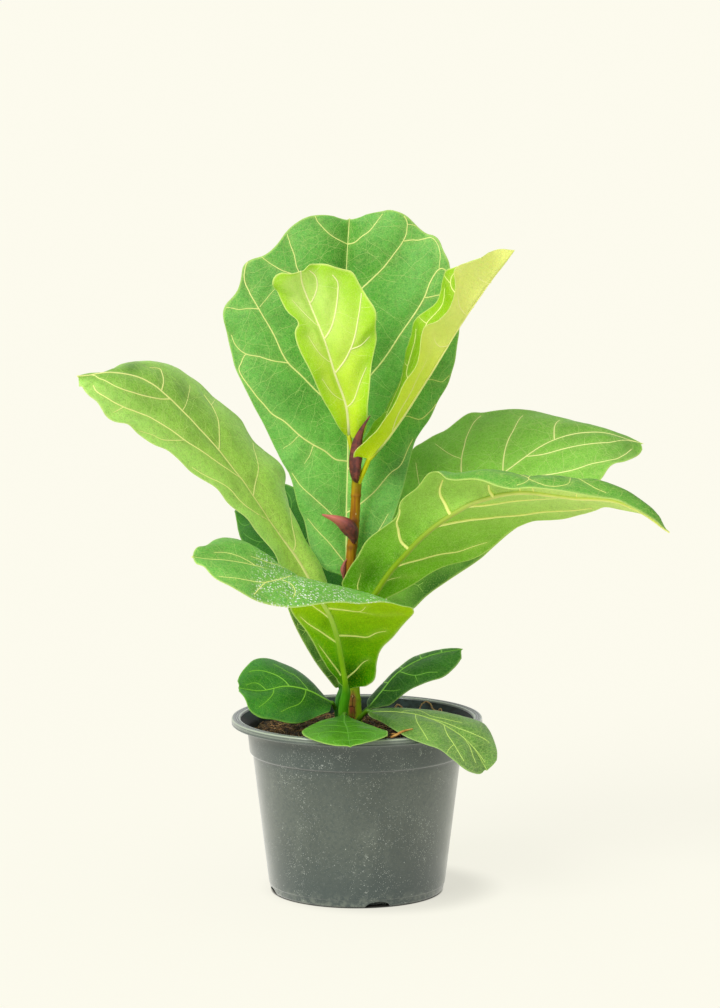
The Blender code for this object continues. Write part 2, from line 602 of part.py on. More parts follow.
def make_leaf(leaf, collection, scrap, stem_line, material):
    """One leaf: a ribbed blade grown together with its stalk, trimmed clear of the stem."""
    blade = Blade(leaf)
    sheet = blade_sheet(leaf, blade, scrap)
    solid = sheet.modifiers.new("blade", "SOLIDIFY")
    solid.thickness = MAIN_RIB * MM
    solid.offset = -1.0
    solid.vertex_group = "thickness"
    solid.use_quality_normals = True
    body = plain_mesh(sheet, collection)
    along = [blade.on_midrib(np.array(share))[0] for share in (0.0, 0.035, 0.07)]
    line = curve_through(np.vstack([np.array(leaf.stalk, float), along]), 3)
    sizes = np.interp(np.linspace(0, 1, len(line)), (0, 0.6, 1), (leaf.stalk_radius, leaf.stalk_radius * 0.95,
                                                                STALK_TIP_RADIUS))
    stalk = tube(leaf.name + "_stalk", [(*p, r) for p, r in zip(line, sizes)], scrap, sides=2)
    leaf_object = join_or_cut(body, stalk, "UNION")
    cutter = tube(leaf.name + "_stem_gap", stem_line, scrap, sides=3)
    leaf_object = join_or_cut(leaf_object, cutter, "DIFFERENCE")
    leaf_object.data.materials.clear()
    leaf_object.data.materials.append(material)
    smooth(leaf_object, 35)
    return leaf_object


def main():
    """Build every piece of the plant and its pot."""
    for obj in list(bpy.data.objects):
        bpy.data.objects.remove(obj)
    collection = bpy.data.collections.new(PART)
    cutters = bpy.data.collections.new("cutters")
    bpy.context.scene.collection.children.link(collection)
    bpy.context.scene.collection.children.link(cutters)
    materials = {name: make_material(name) for name in COLOURS}

    make_pot(collection, cutters, materials["pot_plastic"])
    make_soil(collection, materials["soil"])
    make_stem(collection, materials["bark"])
    for name, points in STIPULES.items():
        make_stipule(name, points, collection, materials["stipule_skin"])
    make_root_loop(collection, materials["root_skin"])
    stem_gap = [(x, y, z, radius + SEAT) for x, y, z, radius in curve_through(STEM, 4)]
    for leaf in LEAVES:
        make_leaf(leaf, collection, cutters, stem_gap, materials[leaf.colour])


main()
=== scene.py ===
"""Looks of a young fiddle leaf fig in a nursery pot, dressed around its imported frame.

The frame gives the places and sizes of the pot, the soil, the stem and every leaf. Here
each of them gets its fine form: leaf blades with their veins, bark with its scars, papery
sheaths, crumbly soil and moulded plastic. Lengths are given in millimetres and turned
into metres when a mesh is made.
"""

import logging
import math
from dataclasses import dataclass
from enum import Enum

import bmesh
import bpy
import numpy as np
from mathutils import Euler, Matrix, Vector, kdtree, noise


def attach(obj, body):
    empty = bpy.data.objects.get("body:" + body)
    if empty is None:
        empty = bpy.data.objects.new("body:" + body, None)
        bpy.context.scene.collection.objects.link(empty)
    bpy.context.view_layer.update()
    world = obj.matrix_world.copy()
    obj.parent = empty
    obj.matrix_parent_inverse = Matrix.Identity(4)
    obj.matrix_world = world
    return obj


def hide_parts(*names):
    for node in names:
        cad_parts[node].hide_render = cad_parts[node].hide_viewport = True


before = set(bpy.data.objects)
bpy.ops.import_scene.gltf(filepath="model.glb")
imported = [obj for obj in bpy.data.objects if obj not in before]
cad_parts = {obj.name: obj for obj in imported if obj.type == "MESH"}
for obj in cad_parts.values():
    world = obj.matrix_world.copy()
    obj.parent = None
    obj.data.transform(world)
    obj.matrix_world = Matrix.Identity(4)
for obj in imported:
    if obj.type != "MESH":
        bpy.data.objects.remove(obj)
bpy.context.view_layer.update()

MM = 0.001
ONE_PLACE = 0.001 * MM
FULL_TURN = 6.28
ROOT = "root"
LOG = logging.getLogger("potted_fig")

Colour = tuple[int, int, int]
Point = tuple[float, float, float]
Pixel = tuple[float, float]
# A ring is a centre and a radius. A rod's point also has its share along the rod.
Ring = tuple[float, float, float, float]
RodPoint = tuple[float, float, float, float, float]
Socket = bpy.types.NodeSocket


class Face(Enum):
    """The two faces of a leaf."""

    UPPER = "upper"
    UNDER = "under"


class Half(Enum):
    """The two halves of a blade, as seen from in front, with the sign of each."""

    LEFT = -1
    RIGHT = 1


def linear(colour: Colour) -> tuple[float, float, float, float]:
    """A screen colour, from 0 to 255, as light values with an alpha of one.

    Args:
        colour: Red, green and blue.

    Returns:
        Red, green, blue and alpha.
    """
    shares = [value / 255 for value in colour]
    light = [share / 12.92 if share <= 0.04045 else ((share + 0.055) / 1.055) ** 2.4 for share in shares]
    return (*light, 1.0)


def unit(rows: np.ndarray) -> np.ndarray:
    """Each row scaled to a length of one."""
    return rows / np.maximum(np.linalg.norm(rows, axis=-1, keepdims=True), 1e-9)


def reach_along(points: np.ndarray) -> np.ndarray:
    """How far along a path each of its points is."""
    return np.concatenate([[0.0], np.cumsum(np.linalg.norm(np.diff(points, axis=0), axis=1))])


def curve_through(points: tuple | list | np.ndarray, steps: int) -> np.ndarray:
    """Points on a smooth curve through the given ones.

    Args:
        points: The knots, of which the first three numbers set the pace.
        steps: How many pieces each stretch between two knots is cut into.

    Returns:
        The curve's points, from the first knot to the last.
    """
    knots = np.asarray(points, float)
    knots = np.vstack([2 * knots[0] - knots[1], knots, 2 * knots[-1] - knots[-2]])
    gaps = np.maximum(np.linalg.norm(np.diff(knots[:, :3], axis=0), axis=1), 1e-6) ** 0.5
    times = np.concatenate([[0.0], np.cumsum(gaps)])
    out = []
    for i in range(1, len(knots) - 2):
        p0, p1, p2, p3 = knots[i - 1:i + 3]
        t0, t1, t2, t3 = times[i - 1:i + 3]
        t = np.linspace(t1, t2, steps, endpoint=False)[:, None]
        a1 = (t1 - t) / (t1 - t0) * p0 + (t - t0) / (t1 - t0) * p1
        a2 = (t2 - t) / (t2 - t1) * p1 + (t - t1) / (t2 - t1) * p2
        a3 = (t3 - t) / (t3 - t2) * p2 + (t - t2) / (t3 - t2) * p3
        b1 = (t2 - t) / (t2 - t0) * a1 + (t - t0) / (t2 - t0) * a2
        b2 = (t3 - t) / (t3 - t1) * a2 + (t - t1) / (t3 - t1) * a3
        out.append((t2 - t) / (t2 - t1) * b1 + (t - t1) / (t2 - t1) * b2)
    return np.vstack(out + [knots[-2][None]])


def eased(x: np.ndarray, values: np.ndarray) -> np.ndarray:
    """Smooth values at x, from values given at even steps between 0 and 1.

    Args:
        x: Places from 0 to 1.
        values: The values, one row for each step.

    Returns:
        The value at each place.
    """
    last = len(values) - 1
    place = np.clip(np.asarray(x, float), 0, 1) * last
    i = np.minimum(place.astype(int), last - 1)
    slope = np.gradient(values, axis=0)
    t = place - i
    if values.ndim > 1:
        t = t[..., None]
    return ((1 + 2 * t) * (1 - t) ** 2 * values[i] + t * (1 - t) ** 2 * slope[i]
            + t * t * (3 - 2 * t) * values[i + 1] + t * t * (t - 1) * slope[i + 1])


def seed_of(name: str) -> int:
    """A fixed seed for a piece's random draws, from its name."""
    return sum((place + 1) * ord(letter) for place, letter in enumerate(name))


def rough(points: np.ndarray, scale: float) -> np.ndarray:
    """Smooth noise from about -1 to 1 at each point.

    Args:
        points: Places in millimetres, one row each.
        scale: How many millimetres wide a bump of the noise is.

    Returns:
        One value for each point.
    """
    return np.array([noise.noise(Vector(point) / scale) for point in points])


class Paint:
    """A material's nodes, added one at a time around its Principled shader."""

    def __init__(self, name: str) -> None:
        """Starts a material with nothing but its shader.

        Args:
            name: The material's name.
        """
        self.material = bpy.data.materials.new(name)
        self.material.use_nodes = True
        self.tree = self.material.node_tree
        self.shader = self.tree.nodes["Principled BSDF"]

    def node(self, kind: str, settings: dict | None = None, inputs: dict | None = None) -> bpy.types.Node:
        """Adds a node.

        Args:
            kind: Blender's name of the node type.
            settings: The node's own settings.
            inputs: A socket to link or a value to set, for each input's name or number.

        Returns:
            The new node.
        """
        node = self.tree.nodes.new(kind)
        for key, value in (settings or {}).items():
            setattr(node, key, value)
        for key, value in (inputs or {}).items():
            self.feed(node.inputs[key], value)
        return node

    def feed(self, socket: Socket, value: object) -> None:
        """Links a socket to an input, or sets the input's value."""
        if isinstance(value, bpy.types.NodeSocket):
            self.tree.links.new(value, socket)
        else:
            socket.default_value = value

    def fix(self, **values: float) -> None:
        """Sets values that are the same all over on the shader's own sockets."""
        for name, value in values.items():
            self.shader.inputs[name.replace("_", " ")].default_value = value

    def place(self, stretch: Point = (1, 1, 1)) -> Socket:
        """The object's own coordinates, in metres, stretched along each axis.

        Args:
            stretch: The scale along each axis.

        Returns:
            The coordinates.
        """
        own = self.node("ShaderNodeTexCoord").outputs["Object"]
        if stretch == (1, 1, 1):
            return own
        return self.node("ShaderNodeMapping", inputs={"Vector": own, "Scale": stretch}).outputs["Vector"]

    def attribute(self, name: str) -> Socket:
        """A number that the mesh holds at its points."""
        return self.node("ShaderNodeAttribute", {"attribute_name": name}).outputs["Fac"]

    def noise(self, place: Socket, scale: float, detail: float = 3.0) -> Socket:
        """Cloudy noise from 0 to 1 with scale bumps to the metre."""
        inputs = {"Vector": place, "Scale": scale, "Detail": detail}
        return self.node("ShaderNodeTexNoise", inputs=inputs).outputs["Fac"]

    def net(self, place: Socket, scale: float, line: float) -> Socket:
        """A net of thin lines, 1 on a line and 0 between, with scale meshes to the metre."""
        cells = self.node("ShaderNodeTexVoronoi", {"feature": "DISTANCE_TO_EDGE"},
                          {"Vector": place, "Scale": scale})
        return self.span(cells.outputs["Distance"], 0.0, line, 1.0, 0.0)

    def dots(self, place: Socket, scale: float, size: float, share: float) -> Socket:
        """Scattered dots.

        Args:
            place: The coordinates.
            scale: How many cells a metre holds.
            size: A dot's radius in cells.
            share: Which share of the cells has a dot.

        Returns:
            1 on a dot and 0 between them.
        """
        cells = self.node("ShaderNodeTexVoronoi", inputs={"Vector": place, "Scale": scale})
        spot = self.span(cells.outputs["Distance"], size * 0.5, size, 1.0, 0.0)
        chosen = self.maths("GREATER_THAN", self.grey(cells.outputs["Color"]), 1.0 - share)
        return self.times(spot, chosen)

    def grey(self, colour: Socket) -> Socket:
        """The red part of a colour as one number."""
        return self.node("ShaderNodeSeparateColor", inputs={"Color": colour}).outputs["Red"]

    def span(self, value: Socket, low: float, high: float, start: float = 0.0, end: float = 1.0) -> Socket:
        """A value eased from start to end while it goes from low to high."""
        inputs = {"Value": value, "From Min": low, "From Max": high, "To Min": start, "To Max": end}
        return self.node("ShaderNodeMapRange", {"interpolation_type": "SMOOTHSTEP"}, inputs).outputs["Result"]

    def maths(self, operation: str, first: Socket | float, second: Socket | float) -> Socket:
        """One sum with two numbers."""
        return self.node("ShaderNodeMath", {"operation": operation}, {0: first, 1: second}).outputs[0]

    def times(self, first: Socket | float, second: Socket | float) -> Socket:
        """Two numbers multiplied."""
        return self.maths("MULTIPLY", first, second)

    def mix(self, share: Socket, first: Socket | Colour, second: Socket | Colour) -> Socket:
        """First turned into second by share.

        Args:
            share: 0 for the first, 1 for the second.
            first: A colour or its socket.
            second: Another.

        Returns:
            The mixed colour.
        """
        sides = [linear(side) if isinstance(side, tuple) else side for side in (first, second)]
        node = self.node("ShaderNodeMix", {"data_type": "RGBA"}, {0: share, 6: sides[0], 7: sides[1]})
        return node.outputs[2]

    def wear(self, colour: Socket, roughness: Socket, height: Socket, depth: float) -> bpy.types.Material:
        """Links the finished patterns to the shader.

        Args:
            colour: The base colour.
            roughness: The roughness.
            height: The relief, from 0 to 1.
            depth: The depth of the relief, in millimetres.

        Returns:
            The material.
        """
        self.feed(self.shader.inputs["Base Color"], colour)
        self.feed(self.shader.inputs["Roughness"], roughness)
        bump = self.node("ShaderNodeBump", inputs={"Strength": 1.0, "Distance": depth * MM, "Height": height})
        self.feed(self.shader.inputs["Normal"], bump.outputs["Normal"])
        return self.material


@dataclass(frozen=True)
class LeafFinish:
    """Colours of one leaf's two faces at its base and tip, and of its veins and margin.

    The upper face has a third colour, towards its margin, and the stalk may have its own.
    dusty_from and dusty_to are the places, from left to right in metres, between which
    dried drops lie on the upper face, beyond dusty_along of its length. In every finish a
    net or a scale is in cells to the metre, and a relief is in millimetres.
    """

    upper_base: Colour
    upper_tip: Colour
    upper_rim: Colour
    under_base: Colour
    under_tip: Colour
    vein: Colour
    margin: Colour
    gloss: float = 0.42
    midrib_green: Colour = (90, 150, 20)
    midrib_pale: float = 0.2
    # Colour of the painted shade at the form's shade spots.
    deep: Colour = (14, 84, 8)
    shade: Colour = (8, 40, 0)
    shine: float = 0.16
    net_share: float = 0.13
    grainy: float = 1.0
    small_veins: float = 1.0
    stalk: Colour | None = None
    dust: float = 0.0
    dried: Colour = (244, 250, 238)
    wide_net: float = 120.0
    close_net: float = 360.0
    grain_scale: float = 1500.0
    relief: float = 0.26
    vein_relief: float = 0.08
    dusty_from: float = -0.062
    dusty_to: float = 0.018
    dusty_along: float = 0.42

    def skin(self, name: str, face: Face) -> bpy.types.Material:
        """The skin of one face, with its net of small veins, its grain and its margin.

        Args:
            name: The leaf's name.
            face: Which face.

        Returns:
            The material.
        """
        paint = Paint(f"{name}_{face.value}")
        place = paint.place()
        upper = face is Face.UPPER
        base, tip = (self.upper_base, self.upper_tip) if upper else (self.under_base, self.under_tip)
        pale = self.margin if upper else self.under_tip
        net = self.vein if upper else self.under_tip
        grainy = self.grainy * (1.0 if upper else 0.6)
        colour = paint.mix(paint.span(paint.attribute("along"), 0.05, 0.85), base, tip)
        if upper:
            rim = paint.span(paint.attribute("out"), 0.3, 1.0, 0.0, 0.85)
            colour = paint.mix(rim, colour, self.upper_rim)
        for scale, share in ((45, 0.22), (330, 0.18)):
            cloud = paint.span(paint.noise(place, scale, 4), 0.42, 0.75, 0.0, share * grainy)
            colour = paint.mix(cloud, colour, self.shade)
        wide = paint.net(place, self.wide_net, 0.03)
        close = paint.times(paint.net(place, self.close_net, 0.1), 0.8)
        lines = paint.maths("MAXIMUM", wide, close)
        colour = paint.mix(paint.times(lines, self.net_share), colour, net)
        colour = paint.mix(paint.times(paint.attribute("halo"), 0.1), colour, self.vein)
        # Painted shade where the blade lies in shade, at the form's shade spots.
        colour = paint.mix(paint.attribute("deep"), colour, self.deep)
        grain = paint.noise(place, self.grain_scale, 2)
        colour = paint.mix(paint.span(grain, 0.3, 0.5, 0.3 * grainy, 0.0), colour, self.shade)
        colour = paint.mix(paint.span(grain, 0.5, 0.72, 0.0, 0.26), colour, pale)
        colour = paint.mix(paint.times(paint.attribute("margin"), 0.75), colour, self.margin)
        rough_base = self.gloss if upper else 0.6
        roughness = paint.span(paint.noise(place, 90, 3), 0.2, 0.8, rough_base - 0.05, rough_base + 0.12)
        if self.dust and upper:
            colour = paint.mix(self.drops(paint, place), colour, self.dried)
        height = paint.maths("ADD", paint.times(lines, -0.4 if upper else 0.5), paint.times(grain, 0.5))
        paint.fix(Subsurface_Weight=0.1, Subsurface_Scale=0.002,
                  Specular_IOR_Level=self.shine if upper else 0.0)
        paint.shader.inputs["Subsurface Radius"].default_value = (0.5, 1.0, 0.15)
        return paint.wear(colour, roughness, height, self.relief)

    def drops(self, paint: Paint, place: Socket) -> Socket:
        """Dried drops on the upper face.

        Args:
            paint: The face's material.
            place: The coordinates.

        Returns:
            1 on a drop and 0 between them.
        """
        across = paint.node("ShaderNodeSeparateXYZ", inputs={"Vector": place}).outputs["X"]
        held = paint.times(paint.span(across, self.dusty_from - 0.006, self.dusty_from + 0.004),
                           paint.span(across, self.dusty_to - 0.004, self.dusty_to + 0.006, 1.0, 0.0))
        beyond = paint.span(paint.attribute("along"), self.dusty_along - 0.03, self.dusty_along + 0.03)
        held = paint.times(held, beyond)
        spots = paint.maths("MAXIMUM", paint.dots(place, 640, 0.42, self.dust),
                            paint.dots(paint.place((0.5, 1, 1)), 500, 0.34, self.dust))
        return paint.times(spots, paint.times(held, paint.span(paint.noise(place, 60, 2), 0.3, 0.5)))

    def rib(self, name: str) -> bpy.types.Material:
        """The pale skin of the stalk, the midrib and the side veins.

        Args:
            name: The leaf's name.

        Returns:
            The material.
        """
        paint = Paint(f"{name}_veins")
        place = paint.place()
        along = paint.attribute("along")
        stalk = self.stalk or (self.under_base[0], self.under_base[1] * 9 // 10, 0)
        skin = paint.mix(paint.span(along, 0.05, 0.85), self.upper_base, self.upper_tip)
        rank = paint.attribute("rank")
        central = paint.span(rank, 0.2, 0.6, 1.0, 0.0)
        colour = paint.mix(paint.span(rank, 1.4, 1.8, 0.0, 0.62), self.vein, skin)
        olive = paint.times(central, paint.span(along, self.midrib_pale * 0.2, self.midrib_pale, 1.0, 0.0))
        colour = paint.mix(olive, colour, self.midrib_green)
        foot = paint.times(central, paint.span(along, 0.0, 0.12, 1.0, 0.0))
        colour = paint.mix(foot, colour, stalk)
        mottle = paint.span(paint.noise(place, 160, 3), 0.35, 0.8, 0.0, 0.14)
        colour = paint.mix(mottle, colour, self.under_base)
        grain = paint.noise(paint.place((1, 1, 0.3)), 900, 2)
        roughness = paint.span(grain, 0.2, 0.8, 0.42, 0.56)
        return paint.wear(colour, roughness, grain, self.vein_relief)


@dataclass(frozen=True)
class PotFinish:
    """Dark recycled plastic with a chalky film, dried drops and mineral specks."""

    plastic: Colour = (82, 91, 82)
    dark: Colour = (68, 77, 69)
    film: Colour = (116, 124, 112)
    speck: Colour = (226, 232, 222)
    # Painted shade on the inner wall and under the ledge.
    hidden: Colour = (24, 30, 22)
    # Damp stains, and painted shade low down and above the ledge.
    damp_and_shade: Colour = (50, 65, 64)
    # Painted highlight and wear on the lip's edges.
    wear_and_highlight: Colour = (202, 214, 190)
    cloud_scale: float = 22.0
    grain_scale: float = 1100.0
    small_speck_scale: float = 1500.0
    large_speck_scale: float = 420.0
    squiggle_scale: float = 700.0
    relief: float = 0.06

    def material(self) -> bpy.types.Material:
        """The pot's plastic.

        Returns:
            The material.
        """
        paint = Paint("nursery_pot_plastic")
        place = paint.place()
        cloud = paint.noise(place, self.cloud_scale, 4)
        colour = paint.mix(paint.span(cloud, 0.35, 0.7), self.plastic, self.dark)
        streaks = paint.span(paint.noise(paint.place((1, 1, 0.3)), 60, 4), 0.52, 0.78, 0.0, 0.4)
        colour = paint.mix(streaks, colour, self.film)
        grain = paint.noise(place, self.grain_scale, 2)
        colour = paint.mix(paint.span(grain, 0.5, 0.8, 0.0, 0.25), colour, self.film)
        low = paint.node("ShaderNodeSeparateXYZ", inputs={"Vector": place}).outputs["Z"]
        # Painted shade: darker towards the bottom and above the ledge. The noise after it adds damp stains.
        colour = paint.mix(paint.span(low, 0.0, 0.05, 0.75, 0.0), colour, self.damp_and_shade)
        colour = paint.mix(paint.span(low, 0.085, 0.093, 0.0, 0.5), colour, self.damp_and_shade)
        colour = paint.mix(paint.span(paint.noise(place, 480, 4), 0.44, 0.7, 0.0, 0.45), colour, self.damp_and_shade)
        chalk = paint.times(paint.span(low, 0.0, 0.012, 0.7, 0.0),
                            paint.span(paint.noise(place, 300, 4), 0.4, 0.65))
        colour = paint.mix(chalk, colour, self.film)
        patch = paint.span(paint.noise(place, 40, 3), 0.42, 0.66, 0.15, 1.0)
        small = paint.times(paint.dots(place, self.small_speck_scale, 0.4, 0.24), patch)
        large = paint.times(paint.dots(place, self.large_speck_scale, 0.17, 0.14), 0.85)
        squiggles = paint.times(paint.net(place, self.squiggle_scale, 0.07),
                                paint.span(paint.noise(place, 260, 3), 0.6, 0.68, 0.0, 0.8))
        ragged = paint.span(paint.noise(place, 1900, 2), 0.35, 0.6)
        specks = paint.maths("MAXIMUM", paint.times(paint.maths("MAXIMUM", small, large), ragged),
                             paint.times(squiggles, patch))
        colour = paint.mix(paint.times(specks, 0.75), colour, self.speck)
        roughness = paint.maths("ADD", paint.span(paint.noise(place, 60, 4), 0.3, 0.7, 0.3, 0.42),
                                paint.times(specks, 0.3))
        # Pale lip edges: painted highlight and wear.
        colour = paint.mix(paint.times(paint.attribute("lip"), 0.7), colour, self.wear_and_highlight)
        # Painted shade under the ledge's step.
        colour = paint.mix(paint.attribute("groove"), colour, self.hidden)
        height = paint.maths("ADD", paint.times(grain, 0.3), paint.times(specks, 0.5))
        paint.fix(Specular_IOR_Level=0.5, Coat_Weight=0.35, Coat_Roughness=0.14, Sheen_Weight=0.7,
                  Sheen_Roughness=0.4)
        return paint.wear(colour, roughness, height, self.relief)

    def lining(self) -> bpy.types.Material:
        """The same plastic on the inner wall, painted dark as shade and duller, with damp stains.

        Returns:
            The material.
        """
        paint = Paint("nursery_pot_lining")
        place = paint.place()
        stain = paint.noise(place, 120, 4)
        colour = paint.mix(paint.span(stain, 0.35, 0.7), self.hidden, self.damp_and_shade)
        specks = paint.dots(place, 900, 0.3, 0.16)
        colour = paint.mix(paint.times(specks, 0.35), colour, self.film)
        paint.fix(Specular_IOR_Level=0.2)
        return paint.wear(colour, paint.span(stain, 0.3, 0.7, 0.5, 0.65), stain, self.relief)


@dataclass(frozen=True)
class EarthFinish:
    """Damp potting soil, or one of the things that lie in it."""

    name: str
    dark: Colour
    light: Colour
    grain: float = 500.0
    roughness: float = 0.9
    relief: float = 0.35

    def material(self) -> bpy.types.Material:
        """The soil's or the fibre's skin, mottled and rough.

        Returns:
            The material.
        """
        paint = Paint(self.name)
        place = paint.place()
        mottle = paint.noise(place, self.grain, 5)
        colour = paint.mix(paint.span(mottle, 0.38, 0.72), self.dark, self.light)
        colour = paint.mix(paint.span(paint.noise(place, 60, 3), 0.4, 0.7, 0.0, 0.5), colour, self.dark)
        roughness = paint.span(mottle, 0.3, 0.7, self.roughness - 0.1, self.roughness)
        return paint.wear(colour, roughness, mottle, self.relief)


EARTH = EarthFinish("potting_soil_skin", (34, 24, 12), (110, 86, 50))
CRUMB = EarthFinish("soil_crumb_skin", (44, 30, 16), (146, 112, 66), grain=700)
STRAW = EarthFinish("plant_fibre_skin", (164, 116, 66), (226, 186, 124), grain=300, roughness=0.8)
TWIG = EarthFinish("dry_twig_skin", (172, 118, 48), (222, 172, 92), grain=250, roughness=0.7)
THREAD = EarthFinish("surface_root_skin", (198, 156, 100), (240, 210, 156), grain=350, roughness=0.75)


@dataclass(frozen=True)
class BarkFinish:
    """Young bark: green at the foot and the head, rusty brown between, with pale pores."""

    rust: Colour = (148, 92, 2)
    gold: Colour = (186, 136, 8)
    green: Colour = (146, 186, 6)
    old: Colour = (176, 90, 58)
    crack: Colour = (52, 24, 10)
    pore: Colour = (230, 204, 140)
    scar: Colour = (104, 60, 30)
    fibre_scale: float = 420.0
    crack_scale: float = 260.0
    pore_scale: float = 420.0
    relief: float = 0.18

    def material(self) -> bpy.types.Material:
        """The stem's bark. The mesh says where it is old, green or scarred.

        Returns:
            The material.
        """
        paint = Paint("young_bark")
        place = paint.place()
        fibre = paint.noise(paint.place((1, 1, 0.12)), self.fibre_scale, 4)
        colour = paint.mix(paint.span(fibre, 0.35, 0.68), self.rust, self.gold)
        colour = paint.mix(paint.attribute("green"), colour, self.green)
        scuffed = paint.times(paint.attribute("old"), paint.span(fibre, 0.3, 0.55, 0.5, 1.0))
        colour = paint.mix(scuffed, colour, self.old)
        cracks = paint.net(paint.place((1, 1, 0.6)), self.crack_scale, 0.09)
        cracks = paint.times(cracks, paint.attribute("old"))
        colour = paint.mix(cracks, colour, self.crack)
        colour = paint.mix(paint.attribute("scar"), colour, self.scar)
        pores = paint.dots(paint.place((1, 1, 0.55)), self.pore_scale, 0.24, 0.3)
        colour = paint.mix(paint.times(pores, 0.7), colour, self.pore)
        roughness = paint.span(fibre, 0.3, 0.7, 0.45, 0.62)
        height = paint.maths("ADD", fibre, paint.times(pores, 0.5))
        paint.fix(Specular_IOR_Level=0.25)
        return paint.wear(colour, roughness, height, self.relief)


@dataclass(frozen=True)
class SheathFinish:
    """Drying bud sheath: maroon with darker folds, pink where it is still fresh."""

    maroon: Colour = (132, 60, 54)
    dark: Colour = (86, 40, 42)
    fresh: Colour = (222, 122, 108)
    fibre: Colour = (160, 84, 72)
    fold_scale: float = 330.0
    fibre_scale: float = 900.0
    relief: float = 0.15

    def material(self) -> bpy.types.Material:
        """The sheath's papery skin.

        Returns:
            The material.
        """
        paint = Paint("bud_sheath")
        place = paint.place()
        fold = paint.noise(place, self.fold_scale, 4)
        colour = paint.mix(paint.span(fold, 0.36, 0.66), self.dark, self.maroon)
        colour = paint.mix(paint.attribute("fresh"), colour, self.fresh)
        fibre = paint.noise(paint.place((0.4, 1, 1)), self.fibre_scale, 3)
        colour = paint.mix(paint.span(fibre, 0.5, 0.8, 0.0, 0.3), colour, self.fibre)
        roughness = paint.span(fold, 0.3, 0.7, 0.42, 0.6)
        return paint.wear(colour, roughness, fibre, self.relief)


@dataclass(frozen=True)
class Viewpoint:
    """Where the photograph was taken from, and what its lens took in."""

    place: Point = (2.0, -2500.0, 590.0)
    pitch: float = 7.6
    focal: float = 3860.0
    width: int = 720
    height: int = 1008
    sensor: float = 36.0

    def project(self, points: np.ndarray) -> np.ndarray:
        """The picture's pixel for each point in millimetres.

        Args:
            points: The points, one row each.

        Returns:
            Pixels across and down.
        """
        tilt = math.radians(self.pitch)
        offset = points - np.array(self.place)
        depth = offset @ np.array([0.0, math.cos(tilt), -math.sin(tilt)])
        rise = offset @ np.array([0.0, math.sin(tilt), math.cos(tilt)])
        across = self.width / 2 + self.focal * offset[..., 0] / depth
        down = self.height / 2 - self.focal * rise / depth
        return np.stack([across, down], -1)

    def across(self, points: np.ndarray, pixels: np.ndarray) -> np.ndarray:
        """Moves in millimetres that shift points by pixels, right and down, in the picture.

        Args:
            points: The points in millimetres.
            pixels: Each one's shift.

        Returns:
            The moves, one row each.
        """
        tilt = math.radians(self.pitch)
        depth = (points - np.array(self.place)) @ np.array([0.0, math.cos(tilt), -math.sin(tilt)])
        rise = np.array([0.0, math.sin(tilt), math.cos(tilt)])
        moves = pixels[:, :1] * np.array([1.0, 0.0, 0.0]) - pixels[:, 1:] * rise
        return moves * (depth / self.focal)[:, None]

    def build(self) -> bpy.types.Object:
        """The camera, which becomes the scene's.

        Returns:
            The camera.
        """
        data = bpy.data.cameras.new("photo_camera")
        data.sensor_width = self.sensor
        data.lens = self.focal / self.height * self.sensor
        data.clip_end = 500.0
        camera = bpy.data.objects.new("photo_camera", data)
        camera.location = Vector(self.place) * MM
        camera.rotation_euler = Euler((math.radians(90 - self.pitch), 0, 0))
        bpy.context.scene.collection.objects.link(camera)
        bpy.context.scene.camera = camera
        return camera


def link(name: str, mesh: bpy.types.Mesh) -> bpy.types.Object:
    """A new object in the scene with a mesh.

    Args:
        name: The object's name.
        mesh: Its mesh.

    Returns:
        The object.
    """
    obj = bpy.data.objects.new(name, mesh)
    bpy.context.scene.collection.objects.link(obj)
    return obj


def plain_mesh(obj: bpy.types.Object) -> bpy.types.Object:
    """The object with what its modifiers make as its plain mesh.

    Args:
        obj: A mesh object with modifiers.

    Returns:
        The same object, without modifiers.
    """
    bpy.context.view_layer.update()
    depsgraph = bpy.context.evaluated_depsgraph_get()
    mesh = bpy.data.meshes.new_from_object(obj.evaluated_get(depsgraph), depsgraph=depsgraph)
    obj.modifiers.clear()
    obj.data = mesh
    return obj


def hold(mesh: bpy.types.Mesh, name: str, values: np.ndarray) -> None:
    """Stores one number for each point of a mesh under a name."""
    attribute = mesh.attributes.new(name, "FLOAT", "POINT")
    attribute.data.foreach_set("value", np.asarray(values, np.float32).ravel())


def points_of(mesh: bpy.types.Mesh) -> np.ndarray:
    """A mesh's points in millimetres, one row each.

    Args:
        mesh: The mesh.

    Returns:
        Its points.
    """
    flat = np.zeros(len(mesh.vertices) * 3, np.float32)
    mesh.vertices.foreach_get("co", flat)
    return flat.reshape(-1, 3).astype(float) / MM


def move_points(mesh: bpy.types.Mesh, points: np.ndarray) -> None:
    """Sets a mesh's points from rows in millimetres."""
    mesh.vertices.foreach_set("co", (points * MM).astype(np.float32).ravel())
    mesh.update()


def mend(mesh: bpy.types.Mesh, merge: bool = False, turn: bool = False) -> None:
    """Merges the points of a mesh that lie at one place, turns its faces outwards, or both.

    Args:
        mesh: The mesh.
        merge: Whether points at one place become one.
        turn: Whether the faces are turned.
    """
    edit = bmesh.new()
    edit.from_mesh(mesh)
    if merge:
        bmesh.ops.remove_doubles(edit, verts=edit.verts, dist=ONE_PLACE)
    if turn:
        bmesh.ops.recalc_face_normals(edit, faces=edit.faces)
    edit.to_mesh(mesh)
    edit.free()


def faces_round(rings: int, sides: int) -> list[tuple[int, ...]]:
    """The faces of a closed body of rings, with one point before the rings and one after them.

    Args:
        rings: How many rings there are.
        sides: How many points a ring has.

    Returns:
        Each face's point numbers.
    """
    faces = [(0, 1 + (k + 1) % sides, 1 + k) for k in range(sides)]
    for ring in range(rings - 1):
        low = 1 + ring * sides
        high = low + sides
        faces += [(low + k, low + (k + 1) % sides, high + (k + 1) % sides, high + k) for k in range(sides)]
    last = 1 + (rings - 1) * sides
    return faces + [(last + sides, last + k, last + (k + 1) % sides) for k in range(sides)]


